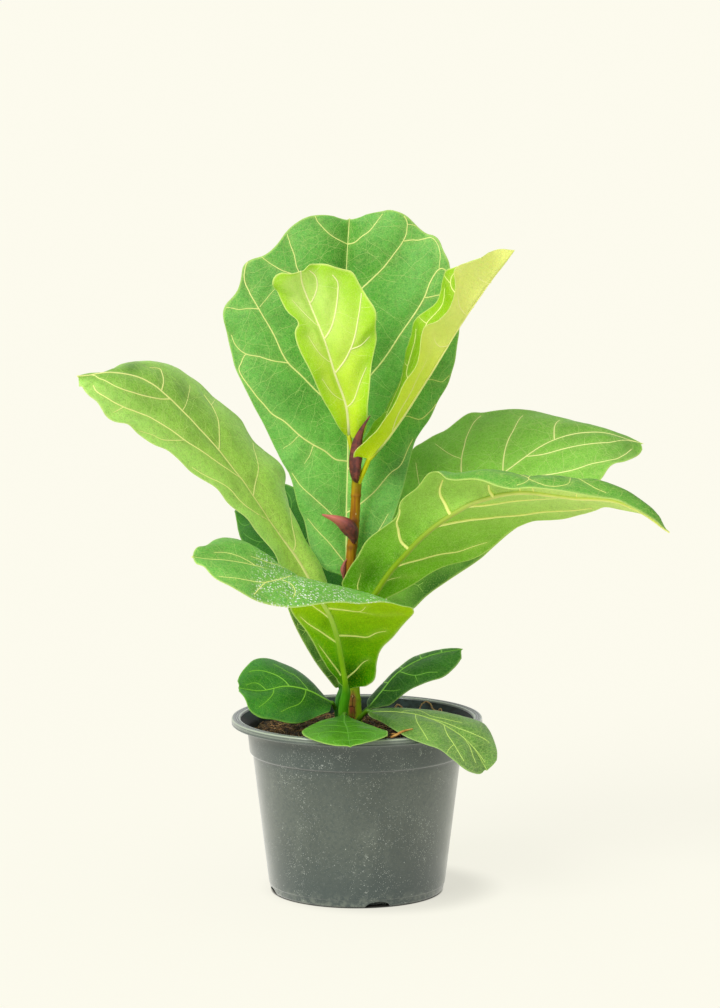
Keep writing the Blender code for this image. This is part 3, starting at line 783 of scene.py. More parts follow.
def settle(obj: bpy.types.Object, slot: str, *nodes: str) -> bpy.types.Object:
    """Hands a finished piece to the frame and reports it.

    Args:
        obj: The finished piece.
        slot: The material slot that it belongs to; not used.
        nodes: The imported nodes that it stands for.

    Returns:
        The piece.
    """
    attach(obj, ROOT)
    if nodes:
        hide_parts(*nodes)
    LOG.info("%s: %d faces", obj.name, len(obj.data.polygons))
    return obj


class NodeWork:
    """A Geometry Nodes tree with named inputs, built a node at a time."""

    def __init__(self, name: str, inputs: dict[str, tuple[str, object]]) -> None:
        """Starts the tree.

        Args:
            name: The tree's name.
            inputs: Each input's socket type and starting value, by its name.
        """
        self.tree = bpy.data.node_groups.new(name, "GeometryNodeTree")
        face = self.tree.interface
        face.new_socket("Geometry", in_out="INPUT", socket_type="NodeSocketGeometry")
        for key, (kind, value) in inputs.items():
            socket = face.new_socket(key, in_out="INPUT", socket_type=kind)
            if value is not None:
                socket.default_value = value
        face.new_socket("Geometry", in_out="OUTPUT", socket_type="NodeSocketGeometry")
        self.given = self.tree.nodes.new("NodeGroupInput").outputs

    def node(self, kind: str, settings: dict | None = None, inputs: dict | None = None) -> bpy.types.Node:
        """Adds a node, with its settings and with sockets or values for its inputs.

        Args:
            kind: Blender's name of the node type.
            settings: The node's own settings.
            inputs: A socket or a value for each input's name.

        Returns:
            The new node.
        """
        node = self.tree.nodes.new(kind)
        for key, value in (settings or {}).items():
            setattr(node, key, value)
        for key, value in (inputs or {}).items():
            socket = next(s for s in node.inputs if s.identifier == key or s.name == key)
            if isinstance(value, bpy.types.NodeSocket):
                self.tree.links.new(value, socket)
            else:
                socket.default_value = value
        return node

    def named(self, name: str) -> Socket:
        """A number that the incoming mesh holds at its points."""
        return self.node("GeometryNodeInputNamedAttribute", inputs={"Name": name}).outputs["Attribute"]

    def drawn(self, low: float | Socket | Point, high: float | Socket | Point, seed: int) -> Socket:
        """A random number or vector between low and high for each point.

        Args:
            low: The least.
            high: The greatest.
            seed: The draw's fixed seed.

        Returns:
            The number or vector.
        """
        if isinstance(low, tuple):
            node = self.node("FunctionNodeRandomValue", {"data_type": "FLOAT_VECTOR"},
                             {"Min": low, "Max": high, "Seed": seed})
            return node.outputs[0]
        node = self.node("FunctionNodeRandomValue", {"data_type": "FLOAT"},
                         {"Min_001": low, "Max_001": high, "Seed": seed})
        return node.outputs[1]

    def spots(self, mark: str) -> Socket:
        """Points scattered over the faces on which the mesh holds a mark."""
        marked = self.node("FunctionNodeCompare", {"operation": "GREATER_THAN"},
                           {"A": self.named(mark), "B": 0.5})
        return self.node("GeometryNodeDistributePointsOnFaces", inputs={
            "Mesh": self.given["Geometry"], "Selection": marked.outputs[0],
            "Density": self.given["Density"], "Seed": self.given["Seed"]}).outputs["Points"]

    def copies(self, spots: Socket, piece: Socket, turn: Socket, scale: Socket) -> Socket:
        """A copy of a piece at each spot.

        Args:
            spots: The points.
            piece: What is copied.
            turn: Each copy's turn about the three axes.
            scale: Each copy's scale.

        Returns:
            The copies.
        """
        turned = self.node("FunctionNodeEulerToRotation", inputs={"Euler": turn})
        return self.node("GeometryNodeInstanceOnPoints", inputs={
            "Points": spots, "Instance": piece, "Rotation": turned.outputs[0], "Scale": scale}).outputs[0]

    def close(self, geometry: Socket) -> None:
        """Ends the tree: copies made real, then the finish.

        Args:
            geometry: What the tree has made.
        """
        real = self.node("GeometryNodeRealizeInstances", inputs={"Geometry": geometry})
        smooth = self.node("GeometryNodeSetShadeSmooth", inputs={"Geometry": real.outputs[0]})
        painted = self.node("GeometryNodeSetMaterial",
                            inputs={"Geometry": smooth.outputs[0], "Material": self.given["Finish"]})
        end = self.tree.nodes.new("NodeGroupOutput")
        self.tree.links.new(painted.outputs[0], end.inputs[0])

    def run(self, name: str, mesh: bpy.types.Mesh, values: dict[str, object]) -> bpy.types.Object:
        """Runs the tree on a mesh.

        Args:
            name: The new piece's name.
            mesh: The mesh that goes in.
            values: A value for each named input that differs from its starting one.

        Returns:
            The piece as a plain mesh.
        """
        obj = link(name, mesh)
        modifier = obj.modifiers.new("work", "NODES")
        modifier.node_group = self.tree
        for item in self.tree.interface.items_tree:
            if item.item_type == "SOCKET" and item.in_out == "INPUT" and item.name in values:
                modifier[item.identifier] = values[item.name]
        return plain_mesh(obj)


class RodWork(NodeWork):
    """Turns paths into round rods: veins, roots, twigs and the stem."""

    def __init__(self) -> None:
        """Builds the tree: path, thickness at each point, round profile, rod."""
        super().__init__("rods_on_paths", {
            "Sides": ("NodeSocketInt", 6), "Thickness": ("NodeSocketFloat", 1.0),
            "Finish": ("NodeSocketMaterial", None)})
        path = self.node("GeometryNodeMeshToCurve", inputs={"Mesh": self.given["Geometry"]})
        size = self.node("ShaderNodeMath", {"operation": "MULTIPLY"},
                         {"Value": self.named("girth"), "Value_001": self.given["Thickness"]})
        profile = self.node("GeometryNodeCurvePrimitiveCircle",
                            inputs={"Resolution": self.given["Sides"], "Radius": 1.0})
        rod = self.node("GeometryNodeCurveToMesh", inputs={
            "Curve": path.outputs[0], "Scale": size.outputs[0], "Profile Curve": profile.outputs["Curve"],
            "Fill Caps": True})
        self.close(rod.outputs[0])

    def rods(self, name: str, paths: list[np.ndarray], sides: int,
             finish: bpy.types.Material) -> bpy.types.Object:
        """Makes one piece of rods.

        Args:
            name: The piece's name.
            paths: For each rod, rows of x, y, z, radius in millimetres and the share along.
                A leaf's veins have a sixth number, their rank: 0 for the midrib, 1 for
                a side vein and 2 for the finest.
            sides: How many sides a rod has.
            finish: The material.

        Returns:
            The piece as a plain mesh.
        """
        rows = np.vstack(paths)
        ends = np.cumsum([len(path) for path in paths])
        starts = np.concatenate([[0], ends[:-1]])
        edges = [(i, i + 1) for start, end in zip(starts, ends) for i in range(start, end - 1)]
        mesh = bpy.data.meshes.new(name)
        mesh.from_pydata((rows[:, :3] * MM).tolist(), edges, [])
        hold(mesh, "girth", rows[:, 3] * MM)
        hold(mesh, "along", rows[:, 4])
        hold(mesh, "rank", rows[:, 5] if rows.shape[1] > 5 else np.zeros(len(rows)))
        return self.run(name, mesh, {"Sides": sides, "Finish": finish})


class CrumbWork(NodeWork):
    """Scatters crumbs of soil over the points of a mesh that are marked as open ground."""

    def __init__(self) -> None:
        """Builds the tree: points on the ground, a lumpy crumb at each, in all sizes."""
        super().__init__("crumbs_on_ground", {
            "Density": ("NodeSocketFloat", 1e5), "Smallest": ("NodeSocketFloat", 0.4 * MM),
            "Largest": ("NodeSocketFloat", 1.2 * MM), "Fineness": ("NodeSocketInt", 1),
            "Seed": ("NodeSocketInt", 1), "Finish": ("NodeSocketMaterial", None)})
        spots = self.spots("ground")
        ball = self.node("GeometryNodeMeshIcoSphere",
                         inputs={"Radius": 1.0, "Subdivisions": self.given["Fineness"]})
        lumps = self.node("ShaderNodeTexNoise", inputs={"Scale": 1.3, "Detail": 2.0})
        middle = self.node("ShaderNodeVectorMath", {"operation": "SUBTRACT"},
                           {"Vector": lumps.outputs["Color"], "Vector_001": (0.5, 0.5, 0.5)})
        push = self.node("ShaderNodeVectorMath", {"operation": "SCALE"},
                         {"Vector": middle.outputs[0], "Scale": 1.5})
        crumb = self.node("GeometryNodeSetPosition",
                          inputs={"Geometry": ball.outputs[0], "Offset": push.outputs[0]})
        turn = self.drawn((0, 0, 0), (FULL_TURN, FULL_TURN, FULL_TURN), 3)
        size = self.drawn(self.given["Smallest"], self.given["Largest"], 5)
        shape = self.node("ShaderNodeVectorMath", {"operation": "SCALE"},
                          {"Vector": self.drawn((0.6, 0.6, 0.5), (1.3, 1.3, 1.0), 7), "Scale": size})
        self.close(self.copies(spots, crumb.outputs[0], turn, shape.outputs[0]))


class FibreWork(NodeWork):
    """Scatters short bent fibres over ground that is marked as open."""

    def __init__(self) -> None:
        """Builds the tree: points on the ground, a bent strand at each, lying any way."""
        super().__init__("fibres_on_ground", {
            "Density": ("NodeSocketFloat", 1e4), "Shortest": ("NodeSocketFloat", 5.0 * MM),
            "Longest": ("NodeSocketFloat", 14.0 * MM), "Seed": ("NodeSocketInt", 1),
            "Finish": ("NodeSocketMaterial", None)})
        spots = self.spots("fibres")
        bend = self.node("GeometryNodeCurveQuadraticBezier", inputs={
            "Resolution": 7, "Start": (-0.5, 0, 0), "Middle": (0.05, 0.32, 0.16), "End": (0.5, 0, 0)})
        profile = self.node("GeometryNodeCurvePrimitiveCircle", inputs={"Resolution": 4, "Radius": 0.014})
        strand = self.node("GeometryNodeCurveToMesh", inputs={
            "Curve": bend.outputs[0], "Fill Caps": True, "Profile Curve": profile.outputs["Curve"]})
        turn = self.drawn((-0.35, -0.3, 0), (0.35, 0.3, FULL_TURN), 11)
        size = self.drawn(self.given["Shortest"], self.given["Longest"], 13)
        self.close(self.copies(spots, strand.outputs[0], turn, size))


@dataclass(frozen=True)
class LeafForm:
    """One leaf's form: its stalk, its midrib and the margin's points at rows along it.

    A row holds the share of the midrib where its side veins start, the left and the right
    margin's points as seen from in front, and which side has a vein there. Some have the
    heights of the left and the right half's arch too. seen_margins are stretches of the margin that the
    photograph shows, and seen_veins are its side veins: L or R for the half, a vein's
    girth, the pixels that it runs through, and optionally the shares of the half's width
    that it lies between. shades are spots of painted shade, where the blade lies in shade:
    a pixel, a radius in pixels and a strength.
    """

    name: str
    stalk: tuple[Point, ...]
    midrib: tuple[Point, ...]
    rows: tuple[tuple, ...]
    finish: LeafFinish
    slot: str
    faces_front: bool = True
    arch: float = 3.0
    sweep: float = 0.12
    wave: float = 1.5
    waves: float = 5.0
    quilt: float = 1.2
    stalk_radius: float = 1.7
    rib: float = 1.0
    lift: float = 0.22
    seen_margins: tuple[tuple, ...] = ()
    seen_veins: tuple[tuple, ...] = ()
    shades: tuple[tuple[float, float, float, float], ...] = ()


COOL = LeafFinish(
    upper_base=(132, 214, 94), upper_tip=(92, 170, 60), upper_rim=(120, 192, 90), under_base=(128, 186, 50),
    under_tip=(150, 200, 74), vein=(240, 244, 150), margin=(190, 222, 120))
WARM = LeafFinish(
    upper_base=(208, 254, 108), upper_tip=(136, 194, 72), upper_rim=(188, 244, 116),
    under_base=(128, 186, 50), under_tip=(150, 200, 74), vein=(248, 252, 156), margin=(210, 232, 140),
    midrib_pale=0.04, stalk=(44, 126, 0))
ARCHED = LeafFinish(
    upper_base=(128, 208, 82), upper_tip=(112, 190, 76), upper_rim=(120, 196, 82), under_base=(80, 182, 0),
    under_tip=(234, 255, 44), vein=(250, 255, 150), margin=(214, 236, 136), midrib_green=(150, 206, 10),
    midrib_pale=0.75, dust=0.62)
CURLED = LeafFinish(
    upper_base=(110, 182, 70), upper_tip=(92, 158, 40), upper_rim=(108, 182, 66), under_base=(112, 190, 0),
    under_tip=(230, 255, 150), vein=(255, 255, 150), margin=(214, 236, 130), midrib_green=(140, 172, 0),
    midrib_pale=0.8)
BRIGHT = LeafFinish(
    upper_base=(182, 255, 90), upper_tip=(124, 186, 66), upper_rim=(144, 208, 82), under_base=(120, 182, 40),
    under_tip=(150, 200, 70), vein=(250, 252, 165), margin=(196, 226, 120), grainy=0.7, small_veins=0.7)
CREAM_VEINED = LeafFinish(
    upper_base=(214, 246, 10), upper_tip=(202, 240, 116), upper_rim=(166, 224, 8), under_base=(200, 230, 60),
    under_tip=(206, 232, 80), vein=(255, 252, 190), margin=(232, 246, 150), gloss=0.38, deep=(110, 180, 0),
    shade=(90, 140, 0), net_share=0.06, grainy=0.4, small_veins=0.35)
LIME = LeafFinish(
    upper_base=(138, 194, 0), upper_tip=(156, 204, 6), upper_rim=(150, 206, 4), under_base=(226, 252, 6),
    under_tip=(246, 255, 140), vein=(255, 255, 160), margin=(240, 246, 150), gloss=0.38, deep=(90, 140, 0),
    shade=(90, 100, 0), net_share=0.06, grainy=0.4, small_veins=0.35)
SHADED = LeafFinish(
    upper_base=(26, 98, 8), upper_tip=(36, 108, 14), upper_rim=(60, 130, 34), under_base=(50, 116, 20),
    under_tip=(70, 136, 40), vein=(90, 160, 40), margin=(130, 184, 70), small_veins=0.5)
LOW = LeafFinish(
    upper_base=(28, 98, 8), upper_tip=(54, 132, 34), upper_rim=(70, 148, 54), under_base=(84, 150, 30),
    under_tip=(100, 160, 50), vein=(134, 202, 52), margin=(140, 196, 80), gloss=0.32, shine=0.32,
    small_veins=0.5)
DARK = LeafFinish(
    upper_base=(8, 70, 0), upper_tip=(48, 112, 22), upper_rim=(56, 118, 34), under_base=(70, 136, 30),
    under_tip=(90, 150, 50), vein=(130, 200, 60), margin=(150, 186, 100), gloss=0.34, small_veins=0.5)
DUSTY = LeafFinish(
    upper_base=(94, 148, 46), upper_tip=(116, 164, 74), upper_rim=(130, 176, 88), under_base=(84, 150, 40),
    under_tip=(100, 160, 60), vein=(206, 236, 120), margin=(168, 202, 116), gloss=0.36, shine=0.3,
    net_share=0.3, grainy=1.3, small_veins=1.4)
FRESH = LeafFinish(
    upper_base=(62, 140, 10), upper_tip=(78, 150, 20), upper_rim=(104, 174, 48), under_base=(90, 156, 40),
    under_tip=(110, 166, 60), vein=(106, 176, 50), margin=(176, 214, 110), small_veins=0.5)

LEAVES = (
    LeafForm(
        "leaf_back_tall",
        stalk=((-5, 0, 198),),
        midrib=((-7, 7, 206), (-7, 16, 247), (-6, 25, 289), (-7, 38, 354), (-7, 46, 406), (-5, 50, 440)),
        rows=(
            (0.00, (-12, 7, 209), (-3, 7, 210), ""),
            (0.02, (-26, 13, 216), (7, 4, 215), ""),
            (0.05, (-32, 15, 236), (20, 6, 237), "LR"),
            (0.15, (-47, 16, 274), (35, 12, 289), "LR"),
            (0.32, (-69, 18, 323), (52, 20, 321), "LR"),
            (0.38, (-83, 24, 357), (66, 22, 354), "LR"),
            (0.44, (-87, 28, 380), (66, 28, 382), "L"),
            (0.50, (-75, 36, 408), (60, 34, 411), "LR"),
            (0.66, (-61, 38, 417), (48, 40, 429), "L"),
            (0.74, (-46, 42, 431), (33, 42, 441), "LR"),
            (0.92, (-26, 46, 442), (16, 45, 445), "LR"),
            (1.00, (-5, 50, 440), (-5, 50, 440), "")),
        finish=COOL, slot="leaf_green", sweep=0.05, wave=1.6, waves=6.0,
        seen_margins=(
            ("R", ((350, 219), (358, 218), (368, 214), (379, 211), (387, 210), (398, 212), (405, 215),
                   (413, 222), (421, 230), (427, 234), (434, 235), (439, 240), (442, 248), (447, 258),
                   (451, 266))),
            ("R", ((460, 328), (458, 339), (456, 351), (455, 360), (452, 371), (449, 382), (443, 393),
                   (437, 402), (433, 412), (428, 422), (420, 432), (415, 441), (412, 451), (409, 463),
                   (406, 477), (403, 489), (399, 501), (395, 513), (390, 526))),
            ("L", ((347, 219), (339, 218), (330, 216), (320, 215), (311, 216), (303, 219), (295, 224),
                   (287, 231), (280, 241), (272, 250), (263, 256), (253, 259), (247, 262), (243, 267),
                   (242, 275), (240, 285), (236, 294), (229, 301), (224, 307), (223, 315), (225, 325),
                   (228, 337), (232, 354), (235, 367), (241, 380), (248, 394), (255, 408), (264, 424),
                   (272, 442), (280, 458), (287, 469), (293, 485), (298, 504), (305, 523), (309, 544),
                   (317, 560), (329, 571), (340, 574)))),
        seen_veins=(
            ("R", 0.7, ((348, 244), (354, 242), (362, 236), (370, 230), (378, 219), (382, 213))),
            ("R", 1.0, ((347, 304), (362, 288), (373, 278), (384, 267), (394, 254), (403, 242), (407, 232),
                        (408, 224), (404, 216))),
            ("R", 0.6, ((404, 241), (416, 240), (429, 238), (436, 243), (440, 254), (440, 269))),
            ("R", 0.4, ((408, 224), (417, 226))),
            ("R", 1.2, ((347, 402), (370, 376), (384, 359), (400, 335), (406, 326), (419, 307), (425, 296),
                        (430, 283), (440, 269), (446, 270))),
            ("R", 0.6, ((425, 298), (439, 295), (450, 290))),
            ("R", 1.0, ((348, 470), (362, 452), (382, 428), (401, 417), (421, 419), (430, 411), (437, 404))),
            ("R", 0.6, ((379, 432), (390, 409), (404, 392), (426, 380), (443, 382), (449, 376))),
            ("R", 0.9, ((348, 512), (361, 503), (375, 491), (389, 474), (403, 461), (411, 443), (413, 439))),
            ("R", 0.7, ((347, 566), (360, 552), (376, 534), (388, 513))),
            ("L", 0.7, ((348, 244), (341, 241), (331, 235), (322, 226), (317, 220), (315, 216))),
            ("L", 0.9, ((347, 305), (322, 290), (299, 271), (294, 254), (290, 243), (287, 234))),
            ("L", 0.7, ((306, 280), (290, 273), (282, 270), (271, 264), (261, 257))),
            ("L", 1.2, ((346, 416), (320, 394), (301, 375), (288, 362), (274, 335), (259, 309), (249, 290),
                        (245, 280), (246, 270), (248, 262))),
            ("L", 0.6, ((259, 309), (246, 309), (232, 308), (226, 308))),
            ("L", 0.4, ((260, 307), (267, 298), (275, 289))),
            ("L", 0.8, ((288, 363), (274, 361), (260, 357), (246, 354), (236, 346), (231, 335))),
            ("L", 1.1, ((347, 461), (336, 459), (325, 451), (311, 443), (298, 434), (285, 422), (271, 413),
                        (264, 405), (256, 396), (247, 384), (240, 372), (240, 364), (246, 354))),
            ("L", 0.45, ((314, 445), (310, 455), (305, 463))),
            ("L", 0.45, ((300, 435), (292, 443), (283, 449))),
            ("L", 0.8, ((346, 530), (330, 513), (314, 498), (299, 484), (292, 473))),
            ("L", 0.7, ((346, 563), (330, 544), (314, 528), (307, 519)))),
        shades=((294, 398, 24, 0.26), (335, 590, 36, 0.3), (400, 330, 30, 0.12), (400, 470, 14, 0.4))),
    LeafForm(
        "leaf_young_centre",
        stalk=((-1, 0, 283),),
        midrib=((-5, 0, 300), (-7, -5, 321), (-14, -11, 342), (-21, -16, 365), (-30, -18, 388),
                (-35, -24, 402), (-36, -33, 411)),
        rows=(
            (0.00, (-6, 0, 300), (-3, 0, 300), ""),
            (0.03, (-12, -4, 306), (4, -1, 301), ""),
            (0.17, (-21, -15, 326), (8, -12, 323), "LR"),
            (0.38, (-32, -24, 350), (11, -22, 363), "LR"),
            (0.50, (-39, -28, 370), (12, -28, 384), "L"),
            (0.60, (-40, -24, 379), (-3, -28, 409), "R"),
            (0.76, (-51, -25, 397), (-14, -28, 413), "LR"),
            (0.88, (-54, -29, 405), (-25, -30, 415), "LR"),
            (1.00, (-38, -35, 412), (-34, -35, 413), "")),
        finish=CREAM_VEINED, slot="leaf_lime", sweep=0.08, waves=4.0, quilt=2.6, stalk_radius=1.5, rib=1.25,
        lift=0.4,
        seen_margins=(
            ("L", ((345, 436), (336, 423), (330, 410), (322, 397), (317, 386), (309, 369), (301, 354),
                   (296, 340), (295, 331), (298, 323), (294, 318), (287, 313), (283, 304), (279, 295),
                   (277, 289), (274, 286), (273, 277), (277, 273), (284, 272), (290, 274), (298, 273))),
            ("R", ((303, 269), (309, 265), (317, 264), (326, 264), (335, 267), (346, 270), (353, 272),
                   (357, 279), (361, 288), (368, 299), (377, 311), (375, 320), (375, 328), (377, 340),
                   (374, 350), (372, 362), (370, 374), (370, 388), (368, 402), (368, 414)))),
        seen_veins=(
            ("R", 0.7, ((346, 408), (353, 400), (360, 383), (367, 368))),
            ("R", 1.0, ((337, 373), (345, 360), (351, 348), (356, 328), (360, 308), (361, 293))),
            ("R", 0.6, ((351, 350), (361, 346), (370, 337))),
            ("R", 1.0, ((325, 338), (331, 327), (336, 309), (338, 293), (338, 283), (333, 275))),
            ("R", 0.8, ((309, 304), (314, 297), (317, 286), (315, 276), (310, 271))),
            ("L", 0.35, ((340, 401), (331, 392), (323, 380))),
            ("L", 0.35, ((331, 362), (319, 352), (309, 336))),
            ("L", 0.35, ((317, 325), (304, 312), (292, 300)))),
        shades=((330, 286, 5, 0.2), (366, 344, 6, 0.25), (312, 281, 4, 0.25), (345, 292, 4, 0.2))),
    LeafForm(
        "leaf_young_right",
        stalk=((0, 0, 268), (3, -3, 275), (6, -6, 282)),
        midrib=((8, -9, 287), (23, -10, 306), (45, -12, 340), (67, -14, 376), (86, -18, 404),
                (101, -24, 424)),
        rows=(
            (0.00, (6, -6, 289), (5, -12, 288), ""),
            (0.06, (4, 6, 294), (-1, -17, 291), ""),
            (0.16, (18, 14, 318), (17, -24, 312), "LR"),
            (0.33, (31, 18, 348), (33, -29, 341), "LR"),
            (0.46, (36, 18, 364), (41, -31, 364), ""),
            (0.54, (39, 16, 379), (43, -31, 376), "LR"),
            (0.66, (55, 11, 390), (58, -30, 385), "R"),
            (0.72, (56, 8, 407), (61, -33, 412), "L"),
            (0.84, (68, 0, 413), (74, -32, 417), "LR"),
            (1.00, (99, -23, 427), (97, -26, 426), "")),
        finish=LIME, slot="leaf_lime", sweep=0.1, waves=4.0, quilt=1.6, stalk_radius=1.6, rib=0.8,
        seen_margins=(
            ("L", ((371, 424), (379, 417), (387, 406), (396, 389), (402, 376), (404, 360), (409, 345),
                   (412, 333), (414, 322), (419, 315), (430, 309), (437, 302), (440, 293), (442, 281),
                   (444, 272), (449, 269), (454, 268))),
            ("R", ((354, 459), (356, 449), (365, 444), (367, 435), (373, 435), (385, 419), (396, 403),
                   (405, 383), (416, 368), (420, 354), (422, 336), (425, 327), (436, 321), (448, 311),
                   (455, 295), (456, 284), (454, 270), (460, 265), (471, 262), (480, 259), (486, 255),
                   (494, 250), (501, 245), (507, 244), (511, 247), (514, 251)))),
        seen_veins=(
            ("R", 0.7, ((388, 431), (398, 412), (410, 392), (417, 376), (426, 359), (432, 339), (437, 322))),
            ("R", 0.7, ((447, 345), (440, 346), (436, 343), (433, 337), (432, 329))),
            ("R", 0.7, ((466, 315), (457, 299), (458, 284), (460, 270))),
            ("R", 0.6, ((488, 283), (478, 277), (472, 267))))),
    LeafForm(
        "leaf_long_left",
        stalk=((-5, 1, 104), (-10, 1, 108), (-12.6, 1, 116), (-12.4, 1, 126)),
        midrib=((-10, 1, 134), (-17, -4, 160), (-31, -9, 208), (-55, -13, 245), (-76, -17, 277),
                (-105, -24, 313), (-134, -36, 341), (-156, -48, 348), (-177.6, -60, 346.4)),
        rows=(
            (0.00, (-12, 0, 134), (-9, 2, 135), ""),
            (0.04, (-16, -2, 137), (-8, 9, 142), ""),
            (0.16, (-29, -10, 157), (-13, 8, 176), "LR"),
            (0.30, (-45, -20, 190), (-21, 1, 207), "LR"),
            (0.40, (-57, -38, 234), (-37, 8, 239), "LR"),
            (0.50, (-82, -54, 264), (-48, 22, 264), "LR"),
            (0.58, (-106, -64, 285), (-57, 32, 282), "L"),
            (0.66, (-130, -72, 306), (-75, 32, 305), "R"),
            (0.74, (-149, -76, 318), (-98, 28, 327), "L"),
            (0.82, (-160, -76, 328), (-117, 20, 343), "R"),
            (0.90, (-166, -72, 335), (-137, 0, 350), "LR", 3, 2),
            (0.93, (-169.5, -69, 338.5), (-148, -14, 349.4), "", 3, 0.5),
            (0.95, (-172, -67, 340.5), (-155.9, -28, 346.4), "", 3, 0),
            (0.97, (-174, -64, 342), (-163.6, -42, 346), "", 3, 0),
            (1.00, (-177.6, -60, 346.4), (-177.6, -60, 346.4), "")),
        finish=WARM, slot="leaf_green", sweep=0.14, wave=1.0, waves=6.0, stalk_radius=2.0, rib=1.3, lift=0.34,
        seen_margins=(
            ("L", ((77, 386), (82, 387), (84, 390), (89, 396), (97, 402), (101, 408), (106, 416), (113, 421),
                   (119, 423), (127, 424), (133, 429), (140, 435), (146, 440), (153, 445), (160, 448),
                   (166, 449), (173, 455), (181, 462), (190, 471), (202, 479), (215, 487), (221, 494),
                   (227, 503), (237, 511), (247, 518), (253, 528), (260, 537), (266, 544), (273, 552),
                   (278, 563), (282, 570))),
            ("R", ((77, 376), (81, 374), (88, 373), (95, 373), (103, 373.2), (110, 373.2), (112, 370.5),
                   (117.5, 366.8), (127, 363.5), (143, 362), (153, 362), (164, 364), (177, 368), (185, 374),
                   (200, 384), (211, 395), (227, 409), (240, 420), (246, 430), (255, 442), (265, 452),
                   (277, 461), (284, 470), (285, 477), (284, 488), (289, 506), (299, 527), (308, 544),
                   (319, 563), (328, 583)))),
        seen_veins=(
            ("R", 0.7, ((294, 553), (296, 542), (293, 527), (291, 509))),
            ("R", 0.8, ((258, 497), (258, 476), (255, 451), (253, 441))),
            ("R", 0.9, ((222, 450), (220, 431), (217, 415), (212, 405), (205, 395))),
            ("R", 0.4, ((212, 405), (215, 400))),
            ("R", 0.5, ((186, 410), (189, 394), (190, 385))),
            ("R", 0.9, ((162, 391), (164, 382), (163, 374), (159, 368), (150, 367))),
            ("L", 0.8, ((272, 523), (247, 506), (231, 489), (212, 478), (193, 467))),
            ("L", 1.1, ((241, 477), (227, 468), (209, 455), (190, 443), (174, 431), (161, 423), (149, 416),
                        (136, 411), (124, 407), (111, 400), (103, 395), (96, 390), (93, 385))),
            ("L", 0.5, ((184, 440), (161, 439), (153, 435), (140, 431))),
            ("L", 0.45, ((124, 407), (114, 412))),
            ("L", 0.9, ((169, 400), (160, 398), (153, 397), (140, 394), (120, 388), (107, 381), (98, 377),
                        (90, 374)))),
        shades=((296, 628, 30, 0.85), (312, 654, 28, 0.9), (326, 678, 26, 0.9), (132, 367, 8, 0.5),
                (178, 394, 9, 0.2), (191, 409, 10, 0.26), (203, 424, 9, 0.26), (211, 437, 7, 0.2),
                (112, 398, 9, 0.12), (252, 505, 8, 0.1), (262, 536, 8, 0.14), (274, 556, 8, 0.14))),
    LeafForm(
        "leaf_front_left",
        stalk=((-4, -2, 103), (-7.6, -5, 107), (-9.0, -8, 115), (-8.6, -11, 125)),
        midrib=((-7, -14, 134), (-10, -22, 155), (-13, -37, 176), (-19, -55, 196), (-29, -74, 212),
                (-47, -95, 225), (-73, -118, 236), (-102, -138, 242)),
        rows=(
            (0.00, (-8, -15, 136), (-6, -14, 136), ""),
            (0.05, (-15, -19, 145), (6, -13, 139), ""),
            (0.12, (-23, -27, 156), (12, -19, 147), "LR"),
            (0.22, (-32, -40, 178), (16, -28, 163), "LR"),
            (0.34, (-41, -46, 191), (27, -42, 181), "LR"),
            (0.44, (-44, -60, 205), (35, -70, 197), "R"),
            (0.54, (-51, -66, 222), (15, -96, 206), "LR"),
            (0.66, (-65, -72, 235), (-17, -124, 209), "LR"),
            (0.78, (-78, -84, 245), (-52, -146, 213), "LR"),
            (0.88, (-90, -104, 247), (-79, -156, 225), "R"),
            (0.96, (-99, -126, 246), (-94, -148, 236), ""),
            (1.00, (-102, -138, 242), (-102, -138, 242), "")),
        finish=ARCHED, slot="leaf_green", faces_front=False, arch=4.5, wave=1.0, stalk_radius=3.2, rib=1.35,
        seen_margins=(
            ("R", ((363, 688), (374, 680), (376, 665), (381, 649), (392, 638), (402, 626), (411, 616),
                   (416, 610.5), (404, 606.5), (387, 603), (357, 604), (335, 603), (312, 606), (290, 608),
                   (275, 606), (263, 603), (249, 597), (233, 588), (219, 581), (209, 573), (204, 567),
                   (195, 563), (192, 558))),
            ("L", ((338, 680), (327, 668), (317, 651), (309, 635), (296, 618), (290, 609))),
            ("L", ((249, 549), (242, 542), (231, 539), (222, 539), (213, 541), (206, 546), (196, 549),
                   (192, 556)))),
        seen_veins=(
            ("R", 0.9, ((329, 607), (346, 609), (360, 610), (366, 605))),
            ("R", 0.4, ((360, 611), (380, 614), (402, 613))),
            ("R", 1.0, ((340, 635), (354, 635), (368, 636), (377, 632), (387, 630))),
            ("R", 0.9, ((344, 680), (354, 671), (363, 662), (369, 659))),
            ("R", 0.8, ((290, 576), (278, 579), (266, 582), (260, 587), (255, 594)), (0.0, 0.98)),
            ("R", 0.5, ((266, 582), (245, 579), (219, 576))),
            ("R", 0.6, ((282, 579), (291, 583), (295, 591), (294, 597))),
            ("L", 0.9, ((328, 617), (315, 606), (306, 598))),
            ("L", 0.9, ((338, 642), (323, 632), (308, 623), (299, 615))),
            ("L", 0.8, ((341, 674), (329, 659), (315, 641))),
            ("L", 0.6, ((256, 566), (240, 556), (226, 552), (214, 552))),
            ("L", 0.5, ((280, 572), (268, 565), (252, 556)))),
        shades=((352, 676, 16, 0.8), (325, 622, 7, 0.3), (352, 640, 12, 0.25))),
    LeafForm(
        "leaf_right_front",
        stalk=((-3, -2, 167), (1, -6, 181)),
        midrib=((7, -11, 193), (22, -20, 217), (48, -32, 246), (75, -44, 264), (102, -54, 272),
                (139, -66, 270), (165, -74, 268.5), (183, -82, 261), (198, -80, 249)),
        rows=(
            (0.00, (5, -13, 194), (9, -10, 193), ""),
            (0.05, (-8, -16, 201), (16, -4, 193), ""),
            (0.12, (-2, -24, 218), (42, 3, 206), "LR"),
            (0.24, (12, -32, 241), (85, 6, 227), "LR"),
